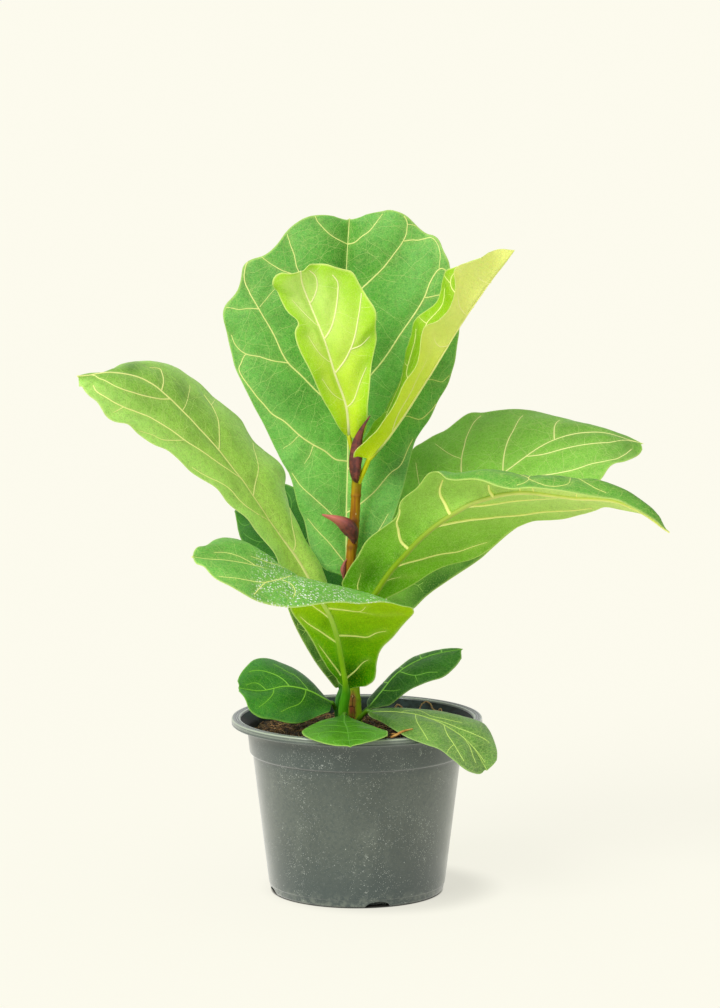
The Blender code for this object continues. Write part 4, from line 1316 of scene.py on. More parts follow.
            (0.35, (26, -40, 259), (107, 2, 242), "R", 4),
            (0.42, (45, -56, 283), (132, -6, 247), "LR", 10),
            (0.50, (67, -76, 282), (148, -14, 254), "", 11.5),
            (0.58, (85, -90, 281), (161, -28, 259), "LR", 10),
            (0.68, (108, -102, 279), (173, -44, 259), "L", 10),
            (0.78, (134, -108, 277), (183, -58, 259), "LR", 11),
            (0.90, (170, -102, 271), (190, -70, 255), "L", 10),
            (0.96, (186, -95, 261), (195, -75, 251), "", 9),
            (1.00, (198, -80, 250), (198, -80, 250), "")),
        finish=CURLED, slot="leaf_green", faces_front=False, sweep=0.1, wave=1.0, stalk_radius=2.2, rib=1.35,
        seen_margins=(
            ("L", ((340, 587), (349, 570), (359, 554), (367, 540), (384, 528), (397, 515), (399, 502),
                   (408, 495), (419, 488), (425, 479), (431, 472))),
            ("L", ((442, 480), (456, 481), (475, 480), (487, 483), (498, 487), (510, 489), (523, 489),
                   (546, 489), (564, 492), (580, 495), (598, 498), (615, 500), (630, 507), (643, 514),
                   (657, 522), (665, 530), (671, 533))),
            ("R", ((377, 606), (386, 599), (402, 591), (419, 581), (433, 572), (451, 565), (470, 561),
                   (482, 556), (496, 544), (511, 531), (523, 525), (534, 521), (548, 520), (564, 519),
                   (578, 515), (589, 512), (603, 507), (620, 510), (638, 513), (650, 517), (660, 524),
                   (668, 531)))),
        seen_veins=(
            ("R", 0.9, ((392, 567), (405, 562.5), (419, 559), (439, 553), (457, 551), (470, 547),
                        (487, 542))),
            ("R", 1.3, ((434, 525), (453, 521), (470, 518), (489, 516), (510, 514), (540, 511), (569, 509),
                        (592, 507))),
            ("R", 1.1, ((466, 505), (484, 503.8), (496, 502), (510, 500), (540, 498), (557, 497))),
            ("R", 0.5, ((376, 587), (386, 580), (400, 577), (416, 576))),
            ("L", 1.4, ((410, 549), (401, 540), (398, 529), (397, 518), (399, 508)), (0.0, 1.0)),
            ("L", 1.6, ((453, 517), (446, 505), (439, 490), (442, 479)), (0.0, 0.85)),
            ("L", 1.6, ((494, 497), (490, 490), (489, 484)), (0.0, 0.5)),
            ("L", 0.5, ((358, 589), (360, 575), (361, 561)), (0.0, 1.0)),
            ("L", 0.5, ((521, 473), (529, 478), (524, 483), (517, 485)), (0.45, 1.0)),
            ("L", 0.5, ((529, 478), (546, 485), (556, 486), (567, 483), (571, 478)), (0.45, 1.0)),
            ("L", 0.5, ((580, 479), (593, 486), (605, 491)), (0.45, 1.0))),
        shades=((376, 577, 20, 0.5), (388, 565, 6, 0.4), (397, 554, 6, 0.36), (407, 543, 6, 0.32),
                (418, 532, 6, 0.28), (430, 523, 6, 0.22))),
    LeafForm(
        "leaf_right_back",
        stalk=((-4, 2, 185), (3, 9, 193)),
        midrib=((11, 14, 202), (38, 22, 226), (68, 30, 252), (99, 37, 274), (130, 42, 294), (160, 44, 299),
                (190, 44, 291)),
        rows=(
            (0.00, (9, 15, 203), (13, 14, 201), ""),
            (0.03, (6, 22, 212), (23, 15, 191), ""),
            (0.14, (18, 34, 235), (44, 16, 192), "LR"),
            (0.27, (29, 46, 253), (73, 18, 211), "LR"),
            (0.38, (37, 60, 277), (101, 16, 235), "LR"),
            (0.47, (51, 72, 292), (125, 10, 251), "LR"),
            (0.58, (77, 80, 307), (151, 6, 262), "LR"),
            (0.70, (107, 80, 309), (163, 10, 275), "LR"),
            (0.82, (137, 72, 304), (177, 22, 281), "LR"),
            (0.92, (165, 60, 298), (188, 34, 285), ""),
            (1.00, (190, 44, 291), (190, 44, 291), "")),
        finish=BRIGHT, slot="leaf_green",
        seen_margins=(
            ("L", ((392, 520), (397, 505), (400, 494), (405, 472), (412, 450), (422, 443), (433, 436),
                   (446, 431), (457, 422), (470, 413), (482, 412), (498, 411), (511, 410), (529, 411),
                   (546, 414), (564, 419), (580, 424), (598, 430), (615, 433), (630, 437), (642, 442))),
            ("R", ((376, 612), (388, 616), (401, 616), (413, 609), (426, 596), (447, 581), (468, 567),
                   (482, 557), (496, 544))),
            ("R", ((599, 482), (603, 477), (608, 469), (613, 464), (624, 462), (635, 457), (641, 452),
                   (643, 445)))),
        seen_veins=(
            ("L", 1.0, ((462, 500), (461, 470), (462, 456), (467, 436), (472, 425), (481, 415))),
            ("L", 0.6, ((461, 458), (451, 454), (435, 443))),
            ("L", 1.0, ((503, 473), (504, 455), (508, 440), (514, 428), (523, 415))),
            ("L", 0.8, ((554, 439), (554, 432), (555, 425), (560, 420))),
            ("L", 0.6, ((432, 529), (428, 517), (425, 505), (418, 480), (416, 462))),
            ("R", 1.0, ((527, 457), (546, 453), (569, 447), (592, 443), (615, 441), (638, 442))),
            ("R", 0.9, ((500, 478), (530, 476), (562, 472), (575, 469), (592, 463), (609, 460), (624, 455),
                        (632, 449)))),
        shades=((424, 462, 26, 0.24), (440, 592, 44, 0.9), (474, 572, 26, 0.85), (630, 446, 20, 0.3))),
    LeafForm(
        "leaf_shaded_left",
        stalk=((-5, 3, 173), (-8, 14, 181)),
        midrib=((-13, 26, 190), (-26, 50, 205), (-41, 78, 218), (-61, 108, 230), (-82, 140, 236)),
        rows=(
            (0.00, (-14, 26, 189), (-12, 28, 191), ""),
            (0.04, (-23, 26, 187), (-11, 32, 201), ""),
            (0.22, (-39, 36, 194), (-15, 52, 214), "LR"),
            (0.42, (-57, 50, 208), (-26, 80, 235), "LR"),
            (0.60, (-72, 72, 214), (-39, 104, 251), "LR"),
            (0.78, (-82, 100, 225), (-54, 130, 254), "LR"),
            (0.92, (-84, 124, 233), (-73, 142, 247), ""),
            (1.00, (-82, 140, 236), (-82, 140, 236), "")),
        finish=SHADED, slot="leaf_dark", waves=4.0,
        seen_margins=(
            ("L", ((241, 540), (238, 529), (235, 511))),
            ("R", ((339, 602), (342, 594), (344, 584), (344, 574), (340, 564), (334, 550))))),
    LeafForm(
        "leaf_small_left",
        stalk=((-5, 3, 112), (-10, 5, 114), (-14, 1, 120)),
        midrib=((-16, -8, 126), (-31, -13, 135), (-46, -18, 139), (-63, -24, 137), (-77, -30, 140)),
        rows=(
            (0.00, (-16, -10, 125), (-16, -6, 127), ""),
            (0.08, (-20, -18, 122), (-23, 0, 130), ""),
            (0.24, (-33, -28, 118), (-33, 8, 140), "LR"),
            (0.42, (-46, -36, 119), (-44, 10, 147), "LR"),
            (0.58, (-60, -42, 122), (-55, 8, 152), "LR"),
            (0.78, (-70, -44, 131), (-68, -2, 153), "LR"),
            (0.92, (-75, -38, 137), (-76, -18, 146), ""),
            (1.00, (-77, -30, 140), (-77, -29, 141), "")),
        finish=LOW, slot="leaf_dark", wave=0.6, waves=4.0, quilt=0.9, stalk_radius=1.3, rib=0.75,
        seen_margins=(
            ("R", ((333, 704), (322, 695), (313, 685), (303, 675), (292, 667), (281, 663), (271, 659),
                   (262, 658), (254, 660), (248, 665), (242, 671), (239, 677), (237, 684))),
            ("L", ((237, 685), (239, 691), (244, 697), (247, 702), (248, 708), (252, 713), (261, 718),
                   (274, 719), (287, 723), (300, 723), (311, 719), (322, 714), (332, 711)))),
        seen_veins=(
            ("R", 0.8, ((290, 686), (283, 679), (274, 674), (264, 671), (257, 670), (250, 671))),
            ("R", 0.5, ((309, 689), (303, 683), (296, 676), (286, 671), (274, 664))),
            ("R", 0.6, ((267, 688), (259, 684), (252, 683), (246, 685))),
            ("L", 0.7, ((306, 690), (304, 697), (299, 704), (290, 708), (281, 712))),
            ("L", 0.6, ((274, 688), (272, 695), (265, 702), (259, 707)))),
        shades=((300, 702, 22, 0.35), (275, 668, 14, 0.2))),
    LeafForm(
        "leaf_small_up_right",
        stalk=((-1, 0, 115), (3, 2, 117)),
        midrib=((7, 3, 120), (16, 6, 131), (27, 10, 143), (47, 16, 153), (70, 20, 157)),
        rows=(
            (0.00, (6, 4, 120), (8, 2, 119), ""),
            (0.10, (8, 12, 125), (18, -1, 123), ""),
            (0.28, (18, 20, 135), (31, -5, 131), "LR"),
            (0.46, (29, 26, 144), (44, -8, 138), "LR"),
            (0.64, (42, 30, 152), (55, -8, 143), "LR"),
            (0.82, (56, 28, 156), (65, 4, 149), "LR"),
            (1.00, (70, 20, 158), (70, 19, 157), "")),
        finish=DARK, slot="leaf_dark", sweep=0.1, wave=0.6, waves=3.0, quilt=0.9, stalk_radius=1.3, rib=0.7,
        seen_margins=(
            ("L", ((372, 695), (383, 682), (397, 669), (413, 657), (430, 652), (449, 648), (463, 648))),
            ("R", ((464, 651), (459, 662), (452, 670), (443, 677), (427, 682), (411, 689), (400, 697),
                   (387, 708)))),
        seen_veins=(
            ("R", 0.7, ((399, 671), (415, 675), (429, 672), (438, 672))),
            ("R", 0.4, ((415, 675), (418, 682))),
            ("R", 0.6, ((382, 690), (392, 691), (400, 690)))),
        shades=((392, 692, 18, 0.5), (425, 668, 12, 0.25))),
    LeafForm(
        "leaf_small_low_right",
        stalk=((0, -2, 112), (3, -9, 117)),
        midrib=((7, -15, 122), (37, -36, 124), (56, -52, 120), (73, -66, 110), (83.5, -72.5, 94)),
        rows=(
            (0.00, (6, -14, 122), (7, -16, 121), ""),
            (0.10, (18, -12, 123), (15, -40, 119), ""),
            (0.26, (36, -10, 122), (26, -70, 119), "LR"),
            (0.44, (57, -10, 119), (40, -84, 114), "LR"),
            (0.62, (75, -22, 118), (55, -90, 109), "LR"),
            (0.80, (86, -38, 115), (67, -90, 102), "LR"),
            (0.93, (90, -56, 104), (77, -82, 94), ""),
            (1.00, (86, -71, 95), (83, -73, 94), "")),
        finish=DUSTY, slot="leaf_dark", wave=0.4, waves=4.0, quilt=0.8, stalk_radius=1.5, rib=0.7,
        seen_margins=(
            ("L", ((371, 709), (389, 709), (405, 710), (427, 713), (449, 715), (465, 718), (481, 722),
                   (489, 730), (494, 740), (497, 751), (496, 762), (489, 770), (479, 774))),
            ("R", ((362, 716), (378, 720), (396, 731), (411, 739), (427, 745), (443, 751), (454, 760),
                   (468, 771), (478, 774)))),
        seen_veins=(
            ("R", 0.8, ((415, 714), (417, 722), (423, 731), (428, 740))),
            ("R", 0.9, ((442, 725), (448, 735), (454, 744), (459, 753), (464, 761))),
            ("R", 0.5, ((454, 744), (448, 751), (446, 755))),
            ("R", 0.8, ((462, 738), (470, 746), (473, 755), (476, 763))),
            ("L", 0.9, ((429, 718), (446, 723), (462, 729), (476, 735), (489, 742))),
            ("L", 0.7, ((458, 734), (470, 745), (480, 755), (485, 762))),
            ("L", 0.6, ((400, 711), (415, 712), (430, 715), (446, 719), (462, 722)))),
        shades=((384, 722, 20, 0.7), (404, 730, 12, 0.4), (446, 744, 10, 0.25), (478, 752, 10, 0.2))),
    LeafForm(
        "leaf_small_front",
        stalk=((-3, -4, 110), (-6, -12, 117)),
        midrib=((-8, -20, 121), (-8, -42, 120), (-6, -68, 120), (-5, -90, 118), (-4, -106, 116)),
        rows=(
            (0.00, (-9, -21, 121), (-6, -21, 121), ""),
            (0.08, (-16, -22, 118), (1, -22, 117), ""),
            (0.26, (-28, -38, 118), (9, -38, 118), "LR"),
            (0.46, (-35, -58, 118), (17, -58, 118), "LR"),
            (0.66, (-33, -80, 118), (19, -80, 119), "LR"),
            (0.85, (-20, -98, 117), (10, -98, 118), "LR"),
            (1.00, (-4, -106, 116), (-4, -106, 116), "")),
        finish=FRESH, slot="leaf_dark", faces_front=False, arch=2.0, wave=0.4, waves=3.0, quilt=0.8,
        stalk_radius=1.3, rib=0.6,
        seen_margins=(
            ("L", ((325, 719), (311, 725), (302, 732), (309, 738), (318, 741), (333, 745), (349, 746))),
            ("R", ((345, 723), (362, 724), (378, 728), (390, 733), (384, 737), (367, 742), (351, 746))))),
)


class BladeSurface:
    """The curved upper face of a leaf as a fine grid, and ways to move about on it."""

    PITCH = 1.8
    FULL_SIZE_WIDTH = 65.0
    LEAST_SIZE = 0.45
    FULL_ARCH_WIDTH = 40.0
    FULL_WAVE_WIDTH = 12.0
    FULL_RELIEF_WIDTH = 14.0
    FIT_FADE = 2.2
    END_SPANS = 0.5
    NEAR_MARGIN = (0.955, 0.982, 1.0)
    JOINED_COLUMNS = 6.5
    HIDDEN_ROWS = 7.0
    HIDDEN_STEPS = 5
    FULL_FIT = 12.0
    NO_FIT = 18.0
    STEP = 1.3
    MET = 1.4

    def __init__(self, form: LeafForm, view: Viewpoint) -> None:
        """Lays the grid of the plain form, without its veins' relief.

        Args:
            form: The leaf's form.
            view: The photograph's viewpoint.
        """
        self.form = form
        self.view = view
        self.line = curve_through(form.midrib, 12)
        self.run = reach_along(self.line)
        self.tangent = unit(np.gradient(self.line, self.run, axis=0))
        self.starts = np.array([row[0] for row in form.rows], float)
        self.margins = {}
        self.arches = {}
        for half, place, arch in ((Half.LEFT, 1, 4), (Half.RIGHT, 2, 5)):
            self.margins[half] = np.array([row[place] for row in form.rows], float)
            heights = [row[arch] if len(row) > arch else form.arch for row in form.rows]
            self.arches[half] = np.array(heights, float)
        self.upward = -1 if form.faces_front else 1
        self.spans = len(form.rows) - 1
        self.rows = self.spans * max(5, round(self.run[-1] * 1.15 / self.spans / self.PITCH))
        self.share = np.linspace(0, 1, self.rows + 1)
        starts = self.on_midrib(self.starts)[0]
        widest = max(np.linalg.norm(self.margins[half] - starts, axis=1).max() for half in Half)
        self.size = float(np.clip(widest / self.FULL_SIZE_WIDTH, self.LEAST_SIZE, 1.0))
        self.girth = 0.55 + 0.45 * self.size
        inner = np.linspace(0, 0.925, max(10, round(widest / self.PITCH)))
        self.out = np.concatenate([inner, self.NEAR_MARGIN])
        self.middle = len(self.out) - 1
        halves = {half: self.half_grid(half) for half in Half}
        self.base = np.concatenate([halves[Half.LEFT][:, ::-1], halves[Half.RIGHT][:, 1:]], axis=1)
        self.width = np.stack([np.linalg.norm(self.base[:, side] - self.base[:, self.middle], axis=1)
                               for side in (0, -1)])
        self.points = self.base
        self.normals = self.find_normals(self.base)
        self.nearness = np.full(self.base.shape[:2], 99.0)

    def on_midrib(self, share: np.ndarray) -> tuple[np.ndarray, np.ndarray]:
        """Points and directions of the midrib at shares of its length.

        Args:
            share: The shares.

        Returns:
            The points and the directions, one row each.
        """
        reach = np.clip(share, 0, 1) * self.run[-1]
        point = np.stack([np.interp(reach, self.run, self.line[:, k]) for k in range(3)], -1)
        ahead = np.stack([np.interp(reach, self.run, self.tangent[:, k]) for k in range(3)], -1)
        return point, unit(ahead)

    def half_grid(self, half: Half) -> np.ndarray:
        """One half's points, a row for each share of the length, from midrib to margin.

        Args:
            half: Which half.

        Returns:
            The points, by row and column.
        """
        ends = np.clip(np.minimum(self.share, 1 - self.share) * self.spans / self.END_SPANS, 0, 1) ** 0.5
        s, v = np.meshgrid(self.share, self.out, indexing="ij")
        v = v * ends[:, None]
        start, ahead = self.on_midrib(eased(s, self.starts))
        margin = eased(s, self.margins[half])
        across = margin - start
        outward = unit(np.cross(ahead, across)) * half.value * self.upward
        width = np.linalg.norm(across, axis=-1, keepdims=True)
        arch = eased(s, self.arches[half])[..., None] * np.clip(width / self.FULL_ARCH_WIDTH, 0, 1)
        bend = (start + margin) / 2 - ahead * self.form.sweep * width + outward * 2 * arch
        wave = self.form.wave * np.sin(2 * math.pi * (self.form.waves * s + 0.2 * half.value)) * v ** 2
        wave = wave * np.clip(width[..., 0] / self.FULL_WAVE_WIDTH, 0, 1)
        v = v[..., None]
        bent = (1 - v) ** 2 * start + 2 * v * (1 - v) * bend + v * v * margin
        grid = bent + outward * wave[..., None]
        moves = self.fit(half, grid[:, -1]) * ends[:, None]
        return grid + moves[:, None] * self.out[None, :, None] ** self.FIT_FADE

    def fit(self, half: Half, margin: np.ndarray) -> np.ndarray:
        """How far each point of a half's margin moves to lie where the photograph shows it.

        Args:
            half: The half of the blade.
            margin: Its margin's points.

        Returns:
            The moves in millimetres, square to the line of sight.
        """
        shown = self.view.project(margin)
        move = np.zeros(shown.shape)
        best = np.full(len(shown), self.NO_FIT)
        for side, pixels in self.form.seen_margins:
            if side != half.name[0]:
                continue
            line = curve_through(pixels, 8)
            gap = line[None] - shown[:, None]
            far = np.linalg.norm(gap, axis=-1)
            nearest = far.argmin(axis=1)
            far = far[np.arange(len(shown)), nearest]
            closer = (nearest > 0) & (nearest < len(line) - 1) & (far < best)
            share = np.clip((self.NO_FIT - far) / (self.NO_FIT - self.FULL_FIT), 0, 1)[:, None]
            move[closer] = (gap[np.arange(len(shown)), nearest] * share)[closer]
            best[closer] = far[closer]
        for _ in range(2):
            move[1:-1] = (move[:-2] + 2 * move[1:-1] + move[2:]) / 4
        return self.view.across(margin, move)

    def find_normals(self, grid: np.ndarray) -> np.ndarray:
        """The direction out of the upper face at each point of a grid.

        Args:
            grid: The points, by row and column.

        Returns:
            The directions.
        """
        normals = unit(np.cross(np.gradient(grid, axis=0), np.gradient(grid, axis=1)) * self.upward)
        normals[0], normals[-1] = normals[1], normals[-2]
        return normals

    def sample(self, grid: np.ndarray, places: np.ndarray) -> np.ndarray:
        """A grid's values at places given as row and column numbers with fractions.

        Args:
            grid: The values, by row and column.
            places: The places.

        Returns:
            A value for each place.
        """
        row = np.clip(places[..., 0], 0, grid.shape[0] - 1.001)
        column = np.clip(places[..., 1], 0, grid.shape[1] - 1.001)
        r, c = row.astype(int), column.astype(int)
        a, b = row - r, column - c
        if grid.ndim > 2:
            a, b = a[..., None], b[..., None]
        return (grid[r, c] * (1 - a) * (1 - b) + grid[r + 1, c] * a * (1 - b)
                + grid[r, c + 1] * (1 - a) * b + grid[r + 1, c + 1] * a * b)

    def column(self, half: Half, v: np.ndarray) -> np.ndarray:
        """The column number of a share of a half's width."""
        return self.middle + half.value * np.interp(v, self.out, np.arange(len(self.out)))

    def places_of(self, half: Half, pixels: tuple[Pixel, ...], span: tuple[float, float]) -> np.ndarray:
        """Finds a vein that the photograph shows on the blade.

        Args:
            half: The half that it runs on.
            pixels: The pixels that it runs through, from its start.
            span: The shares of the half's width that it lies between.

        Returns:
            Places on the grid, as rows of row and column number.
        """
        columns = [c for c in range(self.base.shape[1]) if (c - self.middle) * half.value >= 0
                   and span[0] <= self.out[abs(c - self.middle)] <= span[1]]
        shown = self.view.project(self.base[:, columns])
        places = []
        for pixel in pixels:
            gap = np.linalg.norm(shown - np.array(pixel, float), axis=-1)
            nearest = np.argsort(gap, axis=None)[:4]
            r, c = np.unravel_index(nearest, gap.shape)
            weight = 1 / (gap[r, c] + 0.15) ** 2
            column = float((np.array(columns)[c] * weight).sum() / weight.sum())
            places.append((float((r * weight).sum() / weight.sum()), column))
        if abs(places[0][1] - self.middle) < self.JOINED_COLUMNS:
            places[0] = (places[0][0], float(self.middle))
        elif span[0] > 0:
            foot = (places[0][0] - self.HIDDEN_ROWS, float(self.middle))
            hidden = np.linspace(foot, places[0], self.HIDDEN_STEPS, endpoint=False)
            places = [tuple(place) for place in hidden] + places
        return curve_through(places, 6)

    def press(self, paths: list[np.ndarray]) -> None:
        """Sinks the main veins into the upper face and puffs up the skin between them.

        Args:
            paths: The main veins' places on the grid.
        """
        spots = np.vstack([self.sample(self.base, path) for path in paths])
        tree = kdtree.KDTree(len(spots))
        for number, spot in enumerate(spots):
            tree.insert(Vector(spot), number)
        tree.balance()
        flat = self.base.reshape(-1, 3)
        near = np.array([tree.find(Vector(point))[2] for point in flat])
        self.nearness = near.reshape(self.base.shape[:2])
        quilt = self.form.quilt * self.size
        rise = quilt * (1 - np.exp(-(near / 5.0) ** 2)) - 0.5 * quilt
        rise += 0.35 * self.size * rough(flat, 13.0) + 0.12 * rough(flat, 4.5)
        outer = np.abs(np.arange(self.base.shape[1]) - self.middle) / self.middle
        ripple = 0.9 * self.size * rough(flat + 31.0, 21.0).reshape(self.base.shape[:2]) * outer ** 3
        fade = np.clip(self.width.max(axis=0) / self.FULL_RELIEF_WIDTH, 0, 1)[:, None]
        relief = (rise.reshape(self.base.shape[:2]) + ripple) * fade
        self.points = self.base + self.normals * relief[..., None]
        self.normals = self.find_normals(self.points)

    def walk(self, start: np.ndarray, heading: np.ndarray, length: float, turn: float) -> np.ndarray:
        """Steps over the blade until it has gone the length or meets a main vein or the margin.

        Args:
            start: The place on the grid that it leaves from.
            heading: The direction of the first step in space.
            length: The longest way in millimetres.
            turn: How much it turns to one side, in radians to the millimetre.

        Returns:
            The places on the grid.
        """
        place = np.array(start, float)
        path = [place.copy()]
        bend = 0.3 if turn > 0 else -0.3
        for number in range(int(length / self.STEP)):
            low, high = place.copy(), place.copy()
            low[0], high[0] = max(place[0] - 0.5, 0), min(place[0] + 0.5, self.rows)
            down = (self.sample(self.points, high) - self.sample(self.points, low)) / (high[0] - low[0])
            low[0] = high[0] = place[0]
            low[1], high[1] = max(place[1] - 0.5, 0), min(place[1] + 0.5, 2 * self.middle)
            over = (self.sample(self.points, high) - self.sample(self.points, low)) / (high[1] - low[1])
            square = np.array([[down @ down, down @ over], [down @ over, over @ over]]) + np.eye(2) * 1e-6
            place = place + np.linalg.solve(square, [down @ heading, over @ heading]) * self.STEP
            inside = 1.5 < place[0] < self.rows - 1.5 and 1.2 < place[1] < 2 * self.middle - 1.2
            if not inside:
                break
            path.append(place.copy())
            if number > 2 and self.sample(self.nearness, place) < self.MET:
                break
            normal = self.sample(self.normals, place)
            if number % 5 == 4:
                heading = unit(heading + np.cross(normal, heading) * bend)
                bend = -bend
            heading = unit(heading + np.cross(normal, heading) * turn * self.STEP)
        return np.array(path)


class Leaf:
    """One leaf: its blade, and its stalk with the midrib and the veins that grow from it."""

    THICKNESS = 0.4
    MIDRIB = (1.6, 0.36)
    LATERAL = (0.85, 0.36)
    BRANCH = (0.19, 0.15)
    MIDRIB_LIFT = 2.2
    MIDRIB_POINTS = 140
    BRANCH_LIFT = 0.05
    ROD_SIDES = 7
    HALO = 2.3
    MARGIN_WIDTH = 1.1

    def __init__(self, form: LeafForm, view: Viewpoint, rods: RodWork) -> None:
        """Prepares the leaf's surface.

        Args:
            form: The leaf's form.
            view: The photograph's viewpoint.
            rods: What turns its veins into rods.
        """
        self.form = form
        self.rods = rods
        self.surface = BladeSurface(form, view)
        self.draw = np.random.RandomState(seed_of(form.name))

    def build(self) -> list[bpy.types.Object]:
        """Builds the blade and the veins, and hands them to the frame.

        Returns:
            The blade and the veins.
        """
        surface = self.surface
        rows = np.linspace(0, surface.rows, self.MIDRIB_POINTS)
        midrib = np.stack([rows, np.full(self.MIDRIB_POINTS, float(surface.middle))], -1)
        laterals = self.laterals()
        surface.press([midrib] + [path for _, path in laterals])
        blade = self.blade()
        paths = [self.stalk_and_midrib(midrib)]
        for girth, path in laterals:
            radii = (self.LATERAL[0] * girth, self.LATERAL[1] * girth)
            paths.append(self.on_blade(path, radii, self.form.lift * (0.4 + 0.6 * girth), 1.0))
        for parent in [midrib[6:-8]] + [path for _, path in laterals]:
            paths += self.branches(parent)
        skin = self.form.finish.rib(self.form.name)
        veins = self.rods.rods(f"{self.form.name}_veins", paths, self.ROD_SIDES, skin)
        settle(blade, self.form.slot, self.form.name)
        settle(veins, self.form.slot)
        return [blade, veins]

    def laterals(self) -> list[tuple[float, np.ndarray]]:
        """The side veins: those that the photograph shows, and on a hidden half those of its rows.

        Returns:
            Each vein's girth and its places on the grid.
        """
        surface = self.surface
        found = []
        for half in Half:
            seen = [vein for vein in self.form.seen_veins if vein[0] == half.name[0]]
            for vein in seen:
                span = vein[3] if len(vein) > 3 else (0.0, 1.0)
                found.append((vein[1], surface.places_of(half, vein[2], span)))
            if not seen:
                found += self.ruled(half)
        return found

    def ruled(self, half: Half) -> list[tuple[float, np.ndarray]]:
        """Side veins from the rows, each bent forward near the margin to meet the next.

        Args:
            half: Which half.

        Returns:
            Each vein's girth and its places on the grid.
        """
        surface = self.surface
        marked = [i for i, row in enumerate(self.form.rows) if half.name[0] in row[3]]
        pace = surface.rows / surface.spans
        found = []
        for number, i in enumerate(marked):
            following = marked[number + 1:number + 2]
            ahead = following[0] - i if following else min(0.7, surface.spans - i - 0.3)
            v = np.linspace(0, 0.94, 26)
            drift = ahead * 0.8 * np.clip((v - 0.55) / 0.39, 0, 1) ** 2
            sway = 0.04 * np.sin(v * 7 + i)
            rows = (i + drift + sway * v) * pace
            columns = surface.column(half, v * (1 - 0.1 * np.clip(drift, 0, 1)))
            found.append((1.0, np.stack([rows, columns], -1)))
            fork = np.linspace(0.68, 0.97, 9)
            rows = (i + ahead * 0.8 * 0.11 - (fork - 0.68) * 0.5) * pace
            found.append((0.5, np.stack([rows, surface.column(half, fork)], -1)))
        return found

    def on_blade(self, path: np.ndarray, radii: tuple[float, float], lift: float, rank: float) -> np.ndarray:
        """A vein's rod, sunk so that it stands only lift above the upper face.

        Args:
            path: Its places on the grid.
            radii: Its radius at its start and its end.
            lift: How far it stands above the upper face.
            rank: Its rank, 1 or 2.

        Returns:
            Rows of x, y, z, radius, share along the leaf and rank.
        """
        surface = self.surface
        points = surface.sample(surface.points, path)
        normals = surface.sample(surface.normals, path)
        reach = reach_along(points)
        radius = np.interp(reach / max(reach[-1], 1e-6), (0, 1), radii) * surface.girth
        points = points - normals * (radius - lift)[:, None]
        return np.column_stack([points, radius, path[:, 0] / surface.rows, np.full(len(path), rank)])

    def stalk_and_midrib(self, midrib: np.ndarray) -> np.ndarray:
        """The rod of the stalk, from inside the stem, and of the midrib up to the tip.

        Args:
            midrib: The midrib's places on the grid.

        Returns:
            Rows of x, y, z, radius, share along the leaf and rank.
        """
        surface = self.surface
        share = midrib[:, 0] / surface.rows
        thick, thin = self.MIDRIB
        radius = (thin + (thick - thin) * (1 - share) ** 0.9) * surface.girth * self.form.rib
        lift = self.form.lift * (1 + (self.MIDRIB_LIFT - 1) * (1 - share))
        sink = np.maximum(radius - lift, 0) * np.clip(share / 0.09, 0, 1)
        points = surface.sample(surface.points, midrib)
        points = points - surface.sample(surface.normals, midrib) * sink[:, None]
        stalk = curve_through(np.vstack([np.array(self.form.stalk, float), points[:2]]), 8)[:-9]
        swell = np.linspace(1.2, 1.0, len(stalk))
        stalk = np.column_stack([stalk, self.form.stalk_radius * swell, np.linspace(-0.1, 0, len(stalk))])
        blend = np.clip(share / 0.06, 0, 1)
        radius = self.form.stalk_radius * (1 - blend) + radius * blend
        rod = np.vstack([stalk, np.column_stack([points, radius, share])])
        return np.column_stack([rod, np.zeros(len(rod))])

    def branches(self, parent: np.ndarray) -> list[np.ndarray]:
        """Small veins that leave a larger one on both sides, of which some fork.

        Args:
            parent: The larger vein's places on the grid.

        Returns:
            The small veins' rods.
        """
        surface = self.surface
        points = surface.sample(surface.points, parent)
        normals = surface.sample(surface.normals, parent)
        reach = reach_along(points)
        tangents = unit(np.gradient(points, axis=0))
        found = []
        at = 5.0
        side = 1
        while at < reach[-1] - 3:
            k = int(np.searchsorted(reach, at))
            forward = self.draw.uniform(0.0, 0.35)
            heading = unit(np.cross(normals[k], tangents[k]) * side + tangents[k] * forward)
            turn = self.draw.uniform(-0.015, 0.015)
            path = surface.walk(parent[k], heading, self.draw.uniform(14, 42) * surface.size, turn)
            side = -side
            at += self.draw.uniform(6.0, 10.0) * surface.size / self.form.finish.small_veins
            if len(path) < 5:
                continue
            found.append(self.on_blade(path, self.BRANCH, self.BRANCH_LIFT, 2.0))
            last = surface.sample(surface.points, path[-2:])
            ahead = unit(last[1] - last[0])
            normal = surface.sample(surface.normals, path[-1])
            if surface.sample(surface.nearness, path[-1]) < 3.5 or self.draw.uniform() < 0.6:
                continue
            for way in (-1, 1):
                lean = unit(ahead + np.cross(normal, ahead) * way * self.draw.uniform(0.7, 1.2))
                twig = surface.walk(path[-1], lean, self.draw.uniform(5, 11) * surface.size, way * -0.03)
                if len(twig) > 3:
                    radii = (self.BRANCH[1], self.BRANCH[1] * 0.8)
                    found.append(self.on_blade(twig, radii, self.BRANCH_LIFT, 2.0))
        return found

